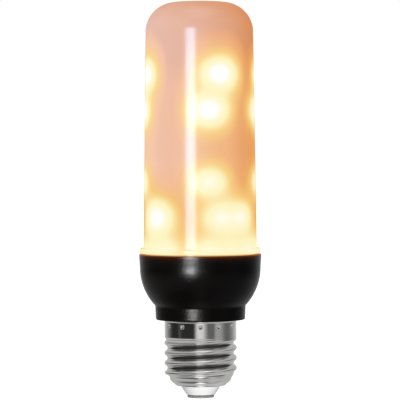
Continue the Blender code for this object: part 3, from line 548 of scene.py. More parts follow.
def paint_glow(piece, flame, cover):
    """Store the light behind each point of the cover, on a scale of equal ratios."""
    wall = cover.wall
    bead_bottom = node_high("housing") + context_cap().gap
    bead_foot = bead_bottom + cover.flange_edge / 4
    bead_top = bead_bottom + cover.flange_height
    board_top = node_high("led_flex_board")
    sources = light_sources(flame)
    clearance = node_radius("diffuser") - 2 * wall - node_radius("led_flex_board")
    glow = piece.data.attributes.new("glow", "FLOAT", "POINT")
    for index, vertex in enumerate(piece.data.vertices):
        spot = vertex.co
        flat = Vector((spot.x, spot.y, 0.0))
        normal = flat.normalized() if flat.length > 0.0 else Vector((0.0, 0.0, 1.0))
        direct = light_at(spot - normal * wall, normal, sources, clearance)
        depth = min(max(board_top - spot.z, 0.0) / cover.stray_fade, 1.0)
        light = math.hypot(direct, cover.stray_light * depth)
        if spot.z < bead_foot:
            light = min(light, cover.foot_light)
        elif spot.z < bead_top:
            light = max(light, cover.bead_light)
        level = math.log(max(light, FAINTEST) / FAINTEST) / math.log(1.0 / FAINTEST)
        glow.data[index].value = min(level, 1.0)


# Operators, one for each piece or group of like pieces


class BULB_OT_cover(bpy.types.Operator):
    """Build the frosted cover and the glow of the lit LEDs on it"""

    bl_idname = "bulb.cover"
    bl_label = "Frosted cover"

    def execute(self, context):
        cover = context.scene.bulb_cover
        piece = turned("frosted_cover", cover_outline(cover), 192, closed=False)
        paint_glow(piece, context.scene.bulb_flame, cover)
        settle(piece, frosted_material(cover), ["diffuser"])
        return {"FINISHED"}


def cover_outline(cover):
    """Down inside the cover to the plug, then up its outer side to the middle of the top."""
    bottom = node_low("diffuser")
    top = node_high("diffuser")
    flange_bottom = node_high("housing") + context_cap().gap
    flange_top = flange_bottom + cover.flange_height
    shoulder = top - cover.shoulder_radius
    centre = cover.top_radius - cover.shoulder_radius
    plug_bore = cover.plug_radius - cover.wall
    snap = (bottom + flange_bottom) / 2 - context_cap().gap
    inner_radius = cover.shoulder_radius - cover.wall
    inner = list(reversed(arc((centre, shoulder), inner_radius, 0.0, 90.0, 12)))
    inner += [
        (cover.tube_radius - cover.wall, flange_top),
        (plug_bore, flange_bottom + cover.wall / 2),
        (plug_bore, bottom),
    ]
    outer = [
        (cover.plug_radius, bottom),
        (cover.plug_radius, snap - cover.snap_half),
        (cover.plug_radius + cover.snap_depth, snap),
        (cover.plug_radius, snap + cover.snap_half),
        (cover.plug_radius, flange_bottom),
    ]
    foot_round = cover.flange_edge / 3
    outer += arc((cover.flange_radius - foot_round, flange_bottom + foot_round), foot_round,
                 -90.0, 0.0, 4)
    outer += arc((cover.flange_radius - cover.flange_edge, flange_top - cover.flange_edge),
                 cover.flange_edge, 0.0, 80.0, 8)
    fillet = cover.flange_edge / 3
    outer += arc((cover.tube_radius + fillet, flange_top + fillet), fillet, -90.0, -180.0, 4)
    outer += run((cover.tube_radius, flange_top + 2 * fillet), (cover.top_radius, shoulder), 120)
    outer += arc((centre, shoulder), cover.shoulder_radius, 0.0, 90.0, 28)
    outer += run((centre, top), (0.0, top), 6)[1:]
    return inner + outer


def context_cap():
    return bpy.context.scene.bulb_cap


# The flame's tones, from the unlit cover through orange and pale yellow to white
FLAME_COLOURS = (
    (0.00, (0.70, 0.28, 0.11)),
    (0.15, (0.80, 0.33, 0.10)),
    (0.30, (0.84, 0.39, 0.11)),
    (0.50, (0.93, 0.61, 0.20)),
    (0.67, (0.97, 0.88, 0.50)),
    (0.81, (0.99, 0.92, 0.63)),
    (0.93, (1.00, 0.98, 0.93)),
    (1.00, (1.00, 1.00, 0.98)),
)


# The cover's finish: how its light and gloss change towards its edges, and how its base colour is painted
# in shade
RIM_FROM, RIM_TO = 0.80, 0.99
RIM_DIMMING = 0.26
LIT_FROM, LIT_TO = 0.2, 0.62
GLOSS = 0.5
GLOSS_FADES_FROM, GLOSS_FADES_TO = 0.12, 0.6
# Share of the cover's colour left where the painted shade is full
PAINTED_SHADE_SHARE = 0.12


def frosted_material(cover):
    """Frosted plastic: the flame's colours, deeper where the wall is seen edge on, over a base colour
    painted darker towards the bottom as painted shade and lowered where the glow is strong.
    """
    material, tree, shader = new_material("frosted cover", cover.milk, cover.roughness)
    glow = stored(tree, "glow")
    edge = edge_on(tree)
    level = glow - smooth_rise(edge, RIM_FROM, RIM_TO) * RIM_DIMMING
    feed(tree, shader.inputs["Emission Color"], ramp(level, FLAME_COLOURS))
    shader.inputs["Emission Strength"].default_value = 1.0
    # Painted shade: the base colour is darker towards the bottom, and is lowered where the glow is strong
    span = cover.shade_gone_height - cover.shade_full_height
    share = (object_height(tree) - cover.shade_full_height) / span
    unshaded_share = maths(tree, "MINIMUM", share, 1.0) - smooth_rise(glow, LIT_FROM, LIT_TO)
    dark = tuple(PAINTED_SHADE_SHARE * part for part in cover.milk)
    feed(tree, shader.inputs["Base Color"], ramp(unshaded_share, ((0.0, dark), (1.0, tuple(cover.milk)))))
    gloss = GLOSS - smooth_rise(edge, GLOSS_FADES_FROM, GLOSS_FADES_TO) * GLOSS
    feed(tree, shader.inputs["Specular IOR Level"], gloss)
    add_grain(tree, shader, cover.roughness, 0.04, grain=(3000.0, 0.015), cloud=40.0)
    return material


class BULB_OT_housing(bpy.types.Operator):
    """Build the black bowl with its collar and neck"""

    bl_idname = "bulb.housing"
    bl_label = "Housing"

    def execute(self, context):
        housing = context.scene.bulb_housing
        piece = turned("black_bowl", housing_outline(housing), 192)
        settle(piece, satin_material(housing), ["housing"])
        return {"FINISHED"}


# Degrees up the bowl's arc at which the rounded crease ends
CREASE_TURN = 0.4


def housing_outline(housing):
    """Up the outside from the neck to the rim, then down inside to the neck."""
    cap = context_cap()
    neck_bottom = node_low("housing")
    rim = node_high("housing")
    collar_bottom = node_high("screw_shell")
    collar_top = collar_bottom + housing.collar_height
    floor_top = collar_bottom + housing.floor_thickness
    centre = housing.bowl_radius - housing.bowl_arc
    bowl_top = collar_top + math.sqrt(housing.bowl_arc ** 2 - (housing.collar_radius - centre) ** 2)
    foot_radius = housing.collar_radius - housing.collar_taper
    rim_radius = housing.bowl_radius + housing.rim_flare
    step = node_low("screw_shell") + cap.cone_height + cap.thread_length
    neck = housing.neck_radius - cap.stake_depth
    outer = [
        (housing.neck_lower_radius, neck_bottom),
        (housing.neck_lower_radius, step),
        (neck, step + housing.neck_step),
        (neck, collar_bottom + cap.gap),
        (housing.recess_radius, collar_bottom + cap.gap),
        (housing.recess_radius, collar_bottom),
    ]
    outer += arc((foot_radius - EDGE, collar_bottom + EDGE), EDGE, -90.0, 0.0, 5)
    crease = (housing.collar_radius, collar_top - housing.crease)
    outer += run((foot_radius, collar_bottom + EDGE), crease, 12)[1:]
    outer.append(crease)
    start = -math.degrees(math.acos((housing.collar_radius - centre) / housing.bowl_arc))
    outer += arc((centre, bowl_top), housing.bowl_arc, start + CREASE_TURN, 0.0, 48)
    flare_bottom = (housing.bowl_radius, bowl_top + housing.flare_rise)
    outer += run(flare_bottom, (rim_radius, rim - EDGE), 6)[1:]
    outer += arc((rim_radius - EDGE, rim - EDGE), EDGE, 0.0, 90.0, 5)
    inner_arc = housing.bowl_arc - housing.wall
    inside = housing.collar_radius - housing.wall
    inner_start = -math.degrees(math.acos((inside - centre) / inner_arc))
    inner = [(housing.bowl_radius - housing.wall, rim)]
    inner += list(reversed(arc((centre, bowl_top), inner_arc, inner_start, 0.0, 12)))
    bore = housing.neck_lower_radius - housing.neck_wall
    inner += [(inside, floor_top), (bore, floor_top), (bore, neck_bottom)]
    return outer + inner


# Warm light of the bead on the housing, from 3 mm below its rim up to the rim
WARM_REACH = 3.0 * MM
WARM_RIM = (
    (0.0, (0.0, 0.0, 0.0)), (0.5, (0.006, 0.002, 0.001)), (0.8, (0.03, 0.008, 0.002)),
    (0.9, (0.10, 0.022, 0.004)), (1.0, (0.18, 0.045, 0.009)),
)


def satin_material(housing):
    """Black plastic that picks up the warm light of the bead along its rim."""
    material, tree, shader = new_material("satin black plastic", housing.black, housing.roughness)
    shader.inputs["Specular IOR Level"].default_value = 0.11
    near_rim = (object_height(tree) - (node_high("housing") - WARM_REACH)) / WARM_REACH
    feed(tree, shader.inputs["Emission Color"], ramp(near_rim, WARM_RIM))
    shader.inputs["Emission Strength"].default_value = 1.0
    add_grain(tree, shader, housing.roughness, 0.06, grain=(2600.0, 0.6), cloud=120.0)
    return material


class BULB_OT_shell(bpy.types.Operator):
    """Build the rolled screw shell: the rule of its thread runs in Geometry Nodes"""

    bl_idname = "bulb.shell"
    bl_label = "Screw shell"

    def execute(self, context):
        cap = context.scene.bulb_cap
        blank = turned("shell_blank", shell_outline(cap), 288)
        sizes = thread_sizes(cap)
        piece = apply_rule(blank, "rolled_shell", thread_rule(sizes), sizes)
        piece.data.shade_smooth()
        piece.data.set_sharp_from_angle(angle=math.radians(55))
        settle(piece, nickel_material(), ["screw_shell"])
        return {"FINISHED"}


def shell_outline(cap):
    """The shell before its thread is rolled: foot, plain wall, skirt and lip."""
    foot = node_low("screw_shell")
    top = node_high("screw_shell")
    thread_bottom = foot + cap.cone_height
    thread_top = thread_bottom + cap.thread_length
    root = cap.crest_radius - cap.depth
    skirt = cap.crest_radius - cap.skirt_drop
    half_turn = cap.pitch / 2
    bend = cap.foot_bend

    def side(inset):
        points = arc((cap.foot_radius - bend, foot + bend), bend - inset, -90.0, -25.0, 5)
        points += run((cap.foot_radius + cap.foot_spread - inset, foot + bend),
                      (cap.cone_radius - inset, thread_bottom), 10, belly=cap.foot_belly)
        points += run((cap.cone_radius - inset, thread_bottom),
                      (root - inset, thread_bottom + half_turn), 10, upright=True)
        points += run((root - inset, thread_bottom + half_turn),
                      (root - inset, thread_top - half_turn), 60)
        points += run((root - inset, thread_top - half_turn),
                      (skirt - inset, thread_top), 14, upright=True)
        points += run((skirt - inset, thread_top), (skirt - inset, top - cap.lip_height), 34)
        points += run((skirt - inset, top - cap.lip_height),
                      (skirt + cap.lip_flare - inset, top), 6, upright=True)
        points.append((skirt + cap.lip_flare - inset, top))
        return points

    hole = cap.throat_radius + cap.gap
    outline = [(hole, foot)] + side(0.0)
    outline += list(reversed(side(cap.wall)))
    outline.append((hole, foot + cap.wall))
    return outline


def thread_sizes(cap):
    """Heights and depths that the thread's rule takes."""
    foot = node_low("screw_shell")
    top = node_high("screw_shell")
    thread_bottom = foot + cap.cone_height
    return {
        "Pitch": cap.pitch,
        "Depth": cap.depth,
        "Crest Height": cap.crest_height,
        "Thread Bottom": thread_bottom,
        "Thread Top": thread_bottom + cap.thread_length,
        "Stake Count": float(cap.stake_count),
        "Stake Height": top - cap.stake_drop,
        "Stake Radius": cap.stake_radius,
        "Stake Depth": cap.stake_depth,
    }


def new_rule(name, sizes):
    """A Geometry Nodes tree that takes a geometry and a named number for each size."""
    tree = bpy.data.node_groups.new(name, "GeometryNodeTree")
    tree.interface.new_socket("Geometry", in_out="INPUT", socket_type="NodeSocketGeometry")
    for label in sizes:
        tree.interface.new_socket(label, in_out="INPUT", socket_type="NodeSocketFloat")
    tree.interface.new_socket("Geometry", in_out="OUTPUT", socket_type="NodeSocketGeometry")
    source = add_node(tree, "NodeGroupInput").outputs
    return tree, source["Geometry"], {label: Value(tree, source[label]) for label in sizes}


# Share of a dimple's radius that is its flat floor
STAKE_FLOOR = 0.35


def thread_rule(sizes):
    """Push each point out by the thread's arcs and in by the stakes, square to the axis."""
    tree, blank, size = new_rule("rolled thread and stakes", sizes)
    x, y, z = axis_parts(tree, add_node(tree, "GeometryNodeInputPosition").outputs[0])
    angle = maths(tree, "ARCTAN2", y, x)
    across = square_root(x * x + y * y)

    turns = (z - size["Crest Height"]) / size["Pitch"] - angle / FULL_TURN
    from_crest = abs(turns - rounded(turns)) * size["Pitch"]
    quarter = size["Pitch"] / 4.0
    half_depth = size["Depth"] / 2.0
    arc_radius = (quarter * quarter + half_depth * half_depth) / size["Depth"]
    crest = size["Depth"] - arc_radius + arc_height(arc_radius, from_crest)
    root = arc_radius - arc_height(arc_radius, quarter * 2.0 - from_crest)
    in_crest = maths(tree, "LESS_THAN", from_crest, quarter)
    rise = crest * in_crest + root * (1.0 - in_crest)
    half_turn = size["Pitch"] / 2.0
    bottom, top = size["Thread Bottom"], size["Thread Top"]
    fade = smooth_rise(z, bottom, bottom + half_turn) * smooth_rise(-z, -top, half_turn - top)

    stakes = (angle - FRONT) / FULL_TURN * size["Stake Count"]
    around = (stakes - rounded(stakes)) / size["Stake Count"] * FULL_TURN
    sideways = around * across
    upwards = z - size["Stake Height"]
    distance = square_root(sideways * sideways + upwards * upwards)
    flat = smooth_rise(distance, size["Stake Radius"] * STAKE_FLOOR, size["Stake Radius"])
    dent = (1.0 - flat) * size["Stake Depth"]

    push = (rise * fade - dent) / across
    # How deep a point lies in the thread's roots, kept for the painted shade there
    groove = (1.0 - rise / size["Depth"]) * fade
    marked = add_node(
        tree, "GeometryNodeStoreNamedAttribute", {"Geometry": blank, "Name": "groove", "Value": groove},
        data_type="FLOAT", domain="POINT",
    )
    shifted = add_node(tree, "GeometryNodeSetPosition", {
        "Geometry": marked.outputs[0], "Offset": joined(tree, x * push, y * push),
    })
    add_node(tree, "NodeGroupOutput", {"Geometry": shifted.outputs[0]})
    return tree


def arc_height(radius, offset):
    """How high an arc stands over its centre at an offset from its middle."""
    return square_root(maths(radius.tree, "MAXIMUM", radius * radius - offset * offset, 0.0))


def apply_rule(blank, name, tree, sizes):
    """Run a Geometry Nodes tree on a blank and keep the result as a plain mesh."""
    modifier = blank.modifiers.new(tree.name, "NODES")
    modifier.node_group = tree
    for item in tree.interface.items_tree:
        if item.name in sizes:
            modifier[item.identifier] = sizes[item.name]
    depsgraph = bpy.context.evaluated_depsgraph_get()
    mesh = bpy.data.meshes.new_from_object(blank.evaluated_get(depsgraph))
    mesh.name = name
    bpy.data.objects.remove(blank, do_unlink=True)
    piece = bpy.data.objects.new(name, mesh)
    bpy.context.scene.collection.objects.link(piece)
    return piece


# The plate's colour on the crests, and painted shade going down into the thread's roots
NICKEL = (0.90, 0.89, 0.88)
NICKEL_ROUGHNESS = 0.10
ROOT_SHADE_TONES = ((0.68, NICKEL), (0.80, (0.25, 0.24, 0.24)), (0.97, (0.08, 0.075, 0.075)))
# Seen edge on, between these two values, the painted shade in the roots is lighter by this share of their
# depth
ROOT_EDGE = (0.38, 0.6)
ROOT_SHADE_LIFT = 0.3


def nickel_material():
    """Bright plate, with painted shade in the roots of the thread except where they are seen edge on."""
    material, tree, shader = new_material("nickel plate", NICKEL, NICKEL_ROUGHNESS, 1.0)
    # Painted shade: the base colour darkens with depth in the roots
    depth = stored(tree, "groove") - smooth_rise(edge_on(tree), *ROOT_EDGE) * ROOT_SHADE_LIFT
    feed(tree, shader.inputs["Base Color"], ramp(depth, ROOT_SHADE_TONES))
    add_grain(tree, shader, NICKEL_ROUGHNESS, 0.06, grain=(900.0, 0.05), cloud=90.0, squash=6.0)
    return material


class BULB_OT_contact(bpy.types.Operator):
    """Build the white insulator and the centre contact"""

    bl_idname = "bulb.contact"
    bl_label = "Insulator and contact"

    def execute(self, context):
        cap = context.scene.bulb_cap
        insulator = turned("white_insulator", insulator_outline(cap), 128)
        white, tree, shader = new_material("white insulator", (0.93, 0.93, 0.93), 0.28)
        add_grain(tree, shader, 0.28, 0.05, grain=(1800.0, 0.03), cloud=150.0, tint=0.04)
        settle(insulator, white, ["insulator"])
        contact = turned("contact_disc", contact_outline(cap), 96, closed=False)
        metal, tree, shader = new_material("contact metal", (0.40, 0.39, 0.38), 0.34, 0.3)
        add_grain(tree, shader, 0.34, 0.1, grain=(1200.0, 0.1), cloud=200.0, tint=0.15)
        settle(contact, metal, ["centre_contact"])
        return {"FINISHED"}


def insulator_outline(cap):
    """The cone below the shell, and the flange and boss inside it."""
    bottom = node_low("insulator")
    top = node_high("insulator")
    foot = node_low("screw_shell")
    flange_bottom = foot + cap.wall + cap.gap
    flange_top = flange_bottom + cap.flange_height
    flange_radius = node_radius("insulator")
    boss = cap.boss_radius
    bore = cap.shank_radius + cap.gap
    tip = cap.tip_edge
    outline = arc((cap.tip_radius - tip, bottom + tip), tip, -90.0, -30.0, 5)
    cone_foot = (cap.tip_radius + cap.tip_spread, bottom + tip)
    outline += run(cone_foot, (cap.throat_radius, foot), 14, belly=cap.cone_belly)
    outline += [
        (cap.throat_radius, foot),
        (cap.throat_radius, flange_bottom),
        (flange_radius, flange_bottom),
        (flange_radius, flange_top),
        (boss, flange_top),
        (boss, top),
        (bore, top),
        (bore, bottom),
    ]
    return outline


HEAD_BEVEL = 0.1 * MM


def contact_outline(cap):
    """A rounded disc with the shank that holds it in the insulator."""
    radius = node_radius("centre_contact")
    outline = arc((radius - EDGE, EDGE), EDGE, -90.0, 0.0, 6)
    outline += [
        (radius, cap.head_height - HEAD_BEVEL),
        (radius - HEAD_BEVEL, cap.head_height),
        (cap.shank_radius, cap.head_height),
        (cap.shank_radius, node_high("centre_contact")),
    ]
    return outline


class BULB_OT_led_board(bpy.types.Operator):
    """Set the LEDs on their flexible board with Geometry Nodes"""

    bl_idname = "bulb.led_board"
    bl_label = "LED board"

    def execute(self, context):
        flame = context.scene.bulb_flame
        board = flex_sheet(flame)
        board.data.materials.append(board_mask_material())
        settle(board, None, ["led_flex_board"])
        return {"FINISHED"}


def flex_sheet(flame):
    """The wrapped board, open at its seam, with the LEDs instanced on it."""
    outer = node_radius("led_flex_board") - flame.package_rise
    low = node_low("led_flex_board")
    high = node_high("led_flex_board")
    shape = bmesh.new()
    steps = 96
    start = FRONT + math.pi + flame.turn + seam_angle(flame) / 2
    sweep = FULL_TURN - seam_angle(flame)
    inner = outer - flame.thickness
    section = ((outer, low), (outer, high), (inner, high), (inner, low))
    loops = []
    for step in range(steps + 1):
        angle = start + sweep * step / steps
        loops.append([shape.verts.new(around(radius, angle, height)) for radius, height in section])
    for here, after in zip(loops, loops[1:]):
        bridge(shape, after, here)
    shape.faces.new(list(reversed(loops[-1])))
    shape.faces.new(loops[0])
    blank = as_object("flex_blank", shape)
    package = led_package(flame)
    sizes = {
        "Radius": outer - flame.sink, "Low": low + flame.margin, "High": high - flame.margin,
        "Rows": float(flame.rows), "Per Row": float(flame.per_row),
        "First Column": first_column(flame), "Column Angle": column_angle(flame),
    }
    board = apply_rule(blank, "led_board", led_rule(package, sizes), sizes)
    bpy.data.objects.remove(package, do_unlink=True)
    return board


def led_package(flame):
    """One LED: a white cup with a raised rim and a sunk yellow window."""
    shape = bmesh.new()
    half_width = flame.package_width / 2
    half_height = flame.package_height / 2
    rim = flame.package_rim
    # Each level: share of the full width and height, inset, and share of the rise
    levels = (
        (1.0, 0.0, 0.0), (1.0, 0.0, 0.85), (0.97, 0.0, 1.0),
        (1.0, rim, 1.0), (1.0, rim * 1.3, 0.75),
    )
    loops = []
    for scale, inset, rise in levels:
        w = half_width * scale - inset
        h = half_height * scale - inset
        out = flame.package_rise * rise
        corners = ((-w, -h), (w, -h), (w, h), (-w, h))
        loops.append([shape.verts.new((out, a, b)) for a, b in corners])
    for lower, upper in zip(loops, loops[1:]):
        bridge(shape, lower, upper)
    shape.faces.new(list(reversed(loops[0])))
    window = shape.faces.new(loops[-1])
    window.material_index = 1
    package = as_object("led_package", shape)
    package.data.materials.append(package_material())
    package.data.materials.append(phosphor_material())
    return package


def led_rule(package, sizes):
    """Rows of LEDs up the core, every second row turned by half a step."""
    tree, sheet, size = new_rule("rows of LEDs", sizes)
    points = add_node(tree, "GeometryNodePoints")
    index = Value(tree, add_node(tree, "GeometryNodeInputIndex").outputs[0])
    row = maths(tree, "FLOOR", index / size["Per Row"])
    column = (index - row * size["Per Row"]) * 2.0 + maths(tree, "MODULO", row, 2.0)
    angle = column * size["Column Angle"] + size["First Column"]
    spacing = (size["High"] - size["Low"]) / (size["Rows"] - 1.0)
    spot = joined(tree, maths(tree, "COSINE", angle) * size["Radius"],
                  maths(tree, "SINE", angle) * size["Radius"], size["Low"] + row * spacing)
    feed(tree, points.inputs["Count"], size["Rows"] * size["Per Row"])
    feed(tree, points.inputs["Position"], spot)
    led = add_node(tree, "GeometryNodeObjectInfo", {"Object": package})
    rows = add_node(tree, "GeometryNodeInstanceOnPoints", {
        "Points": points.outputs[0], "Instance": led.outputs["Geometry"],
        "Rotation": joined(tree, z=angle),
    })
    real = add_node(tree, "GeometryNodeRealizeInstances", {"Geometry": rows.outputs[0]})
    paint = add_node(tree, "GeometryNodeSetMaterial", {
        "Geometry": sheet, "Material": board_mask_material(),
    })
    join = add_node(tree, "GeometryNodeJoinGeometry")
    for part in (real, paint):
        tree.links.new(part.outputs[0], join.inputs[0])
    add_node(tree, "NodeGroupOutput", {"Geometry": join.outputs[0]})
    return tree


def plain_finish(name, base, roughness, metallic=0.0, grain=(1500.0, 0.08), cloud=120.0, tint=0.12):
    """A named finish with grain, built once."""
    if name in bpy.data.materials:
        return bpy.data.materials[name]
    material, tree, shader = new_material(name, base, roughness, metallic)
    add_grain(tree, shader, roughness, 0.12, grain=grain, cloud=cloud, tint=tint)
    return material


def board_mask_material():
    return plain_finish("white solder mask", (0.82, 0.80, 0.74), 0.42, grain=(2500.0, 0.05))


def package_material():
    return plain_finish("led body", (0.86, 0.85, 0.80), 0.4)


def phosphor_material():
    return plain_finish("led phosphor", (0.85, 0.62, 0.12), 0.3, grain=(5000.0, 0.1))


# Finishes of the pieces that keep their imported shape: colour, roughness, metallic value
KEPT_FINISHES = {
    "moulded white": ((0.78, 0.78, 0.76), 0.45, 0.0, ("core_base", "core_cap")),
    "zinc plated steel": ((0.55, 0.55, 0.56), 0.32, 1.0,
                          ("base_screw_1", "base_screw_2", "base_screw_3")),
    "drawn aluminium": ((0.72, 0.73, 0.75), 0.36, 1.0, ("led_core",)),
    "green solder mask": ((0.015, 0.13, 0.05), 0.33, 0.0, ("control_board", "driver_board")),
    "black chip resin": ((0.018, 0.018, 0.019), 0.5, 0.0,
                         ("controller_chip", "bridge_rectifier", "driver_chip")),
    "natural nylon": ((0.74, 0.70, 0.58), 0.45, 0.0, ("board_header",)),
    "dark sleeve": ((0.012, 0.016, 0.035), 0.3, 0.0, ("smoothing_capacitor", "output_capacitor")),
    "varnished winding": ((0.26, 0.09, 0.035), 0.3, 0.0, ("choke",)),
    "flameproof coating": ((0.10, 0.28, 0.17), 0.5, 0.0, ("fuse_resistor",)),
    "red insulation": ((0.50, 0.018, 0.015), 0.38, 0.0, ("live_wire", "feed_wire_red")),
    "black insulation": ((0.014, 0.014, 0.014), 0.38, 0.0, ("neutral_wire", "feed_wire_black")),
}


class BULB_OT_inner_parts(bpy.types.Operator):
    """Give the core, boards, components and wires their finishes"""

    bl_idname = "bulb.inner_parts"
    bl_label = "Inner parts"

    def execute(self, context):
        for name, (base, roughness, metallic, nodes) in KEPT_FINISHES.items():
            material = plain_finish(name, base, roughness, metallic)
            for node in nodes:
                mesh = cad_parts[node].data
                mesh.materials.clear()
                mesh.materials.append(material)
        return {"FINISHED"}


# The studio


class StudioSettings(bpy.types.PropertyGroup):
    """Camera, lights and the room that the metal reflects."""

    camera_distance: length("Camera distance", "From the bulb's axis", 800.0)
    camera_height: length("Camera height", "Above the floor", 85.6)
    aim_height: length("Aim height", "What the camera looks at", 71.1)
    lens: amount("Lens", "Focal length in millimetres", 200.0)
    roll: turning("Roll", "Tilt of the picture", -0.22)
    strip_turn: turning("Strip turn", "Turn of the strip light from the camera", -18.6)
    strip_distance: length("Strip distance", "From the bulb's axis", 1000.0)
    strip_width: length("Strip width", "Width of the strip light over the cover", 345.0)
    low_width: length("Lower width", "Width of the strip light over the housing", 150.0)
    low_turn: turning("Lower turn", "Turn of the strip light over the housing", -18.0)
    strip_low: length("Strip low", "Lower edge of the strip light", -70.0)
    strip_high: length("Strip high", "Upper edge of the strip light", 280.0)
    cover_strip: colour("Strip on the cover", "Tint of its reflection in the cover", (0.38, 0.72, 1.0))
    cover_radiance: amount("Strip for the cover", "Brightness that the cover reflects", 14.0)
    housing_radiance: amount("Strip for the housing", "Brightness that the housing reflects", 190.0)
    fill_radiance: amount("Fill", "Brightness of the fill light on the insulator", 17.0)
    matt_left: amount("Room, left", "Brightness of the room's left for matt surfaces", 0.55)
    front_radiance: amount("Front light", "Brightness of the soft light on the cover", 4.7)


# The two soft lights: sizes and places in metres
FRONT_SIZE = (0.4, 0.4)
FRONT_ASIDE = 0.4
FRONT_DISTANCE = 0.85
FILL_SIZE = (0.4, 0.2)
FILL_PLACE = (0.16, -0.6, 0.0)


class BULB_OT_stage(bpy.types.Operator):
    """Set up the floor, the room, the lights and the camera"""

    bl_idname = "bulb.stage"
    bl_label = "Stage"

    def execute(self, context):
        studio = context.scene.bulb_studio
        add_camera(context.scene, studio)
        add_floor()
        add_room(context.scene, studio)
        cover = add_light("cover strip", strip_size(studio, studio.strip_width),
                          studio.cover_radiance, studio.cover_strip, ["frosted_cover"])
        hang_strip(cover, studio, studio.strip_turn)
        housing = add_light("housing strip", strip_size(studio, studio.low_width),
                            studio.housing_radiance, (1.0, 1.0, 1.0), ["black_bowl"])
        hang_strip(housing, studio, studio.low_turn)
        add_soft("front light", FRONT_SIZE, studio.front_radiance, ["frosted_cover"],
                 (-FRONT_ASIDE, -FRONT_DISTANCE, studio.camera_height), studio.aim_height)
        add_soft("fill light", FILL_SIZE, studio.fill_radiance, ["white_insulator", "contact_disc"],
                 FILL_PLACE, 0.0)
        context.scene.view_settings.view_transform = "Standard"
        return {"FINISHED"}


def aim(thing, place, target, roll=0.0):
    thing.location = place
    facing = (Vector(target) - Vector(place)).to_track_quat("-Z", "Y")
    thing.rotation_euler = (facing @ Quaternion((0.0, 0.0, 1.0), roll)).to_euler()


def add_camera(scene, studio):
    data = bpy.data.cameras.new("camera")
    data.lens = studio.lens
    data.sensor_width = 36.0
    camera = bpy.data.objects.new("camera", data)
    scene.collection.objects.link(camera)
    place = (0.0, -studio.camera_distance, studio.camera_height)
    aim(camera, place, (0.0, 0.0, studio.aim_height), studio.roll)
    scene.camera = camera


def add_floor():
    """A white floor, which neither shadows nor lights the bulb."""
    shape = bmesh.new()
    reach = 3.0
    corners = ((-reach, -reach), (reach, -reach), (reach, reach), (-reach, reach))
    shape.faces.new([shape.verts.new((x, y, 0.0)) for x, y in corners])
    floor = as_object("floor", shape)
    material, _, shader = new_material("pale floor", (0.80, 0.80, 0.80), 0.9)
    shader.inputs["Emission Color"].default_value = (1.0, 1.0, 1.0, 1.0)
    shader.inputs["Emission Strength"].default_value = 1.0
    floor.data.materials.append(material)
    floor.visible_glossy = False
    floor.visible_diffuse = False
    floor.visible_shadow = False


# The room that the metal reflects, in degrees of turn from the camera towards +X: dark side
# walls, a bright wall behind, and soft upright cards. Each card has the turns between which it
# comes in, those between which it goes out, and its brightness.
LEFT_WALL, RIGHT_WALL = 0.015, 0.12
RIGHT_FROM, RIGHT_TO = 8, 25
BACK_WALL = 0.70
BACK_FROM, BACK_TO = 95, 180
CARDS = (
    ((-23, -7), (3, 27), 0.66),
    ((42, 51), (62, 90), 0.20),
    ((-80, -70), (-70, -60), 0.045),
)
# Brightness overhead, by distance from the middle of the light towards either side
OVERHEAD_LIGHT = ((0.0, 1.3), (0.2, 1.2), (0.45, 0.3), (0.65, 0.06))
BEHIND_OVERHEAD = 0.04
MIDDLE_LIGHT = 0.46
FLOOR_LIGHT = 1.2
HAZE = 0.14
WALLS_IN_HAZE = 0.6
# Where one part of the room passes into the next, as parts of a direction of length 1
OVERHEAD_ASIDE = 0.05
OVERHEAD_ENDS = (0.05, 0.3)
MIDDLE_FROM = (0.10, 0.26)
OVERHEAD_FROM = (0.62, 0.86)
HAZE_SIDE = (0.1, 0.5)
FLOOR_SPOT = (0.975, 0.996)
FLOOR_FROM = (0.50, 0.75)
MATT_SIDE = (-0.4, 1.0)


def grey(light):
    return (light, light, light, 1.0)


def blend(factor, first, second):
    """first where the factor is 0 and second where it is 1."""
    node = add_node(factor.tree, "ShaderNodeMix", {"Factor": factor}, data_type="RGBA")
    for name, value in (("A", first), ("B", second)):
        socket = [place for place in node.inputs if place.name == name and place.type == "RGBA"][0]
        feed(factor.tree, socket, value)
    result = [place for place in node.outputs if place.type == "RGBA"][0]
    return Value(factor.tree, result)


def add_room(scene, studio):
    """White for the camera, walls and cards for metal and gloss, and soft for matt surfaces."""
    world = bpy.data.worlds.new("studio room")
    scene.world = world
    world.use_nodes = True
    tree = world.node_tree
    tree.nodes.clear()
    places = add_node(tree, "ShaderNodeTexCoord")
    x, y, z = axis_parts(tree, places.outputs["Generated"])
    matt = smooth_rise(-x, *MATT_SIDE) * studio.matt_left
    rays = add_node(tree, "ShaderNodeLightPath").outputs
    seen = maths(tree, "MAXIMUM", rays["Is Camera Ray"], rays["Is Transmission Ray"])
    metal = add_node(tree, "ShaderNodeBackground", {"Color": room_in_metal(tree, x, y, z)})
    room = add_node(tree, "ShaderNodeBackground", {"Color": matt})
    white = add_node(tree, "ShaderNodeBackground", {"Color": grey(1.0)})
    for factor, second in ((rays["Is Glossy Ray"], metal), (seen, white)):
        mixed = add_node(tree, "ShaderNodeMixShader", {
            "Fac": factor, 1: room.outputs[0], 2: second.outputs[0],
        })
        room = mixed
    add_node(tree, "ShaderNodeOutputWorld", {"Surface": room.outputs[0]})


def room_walls(turn):
    """Brightness at eye level for a turn in degrees."""
    side = smooth_rise(turn, RIGHT_FROM, RIGHT_TO) * (RIGHT_WALL - LEFT_WALL) + LEFT_WALL
    light = side + smooth_rise(abs(turn), BACK_FROM, BACK_TO) * (BACK_WALL - side)
    for (first, full), (last, gone), brightness in CARDS:
        shown = smooth_rise(turn, first, full) * (1.0 - smooth_rise(turn, last, gone))
        light = light + shown * brightness
    return light


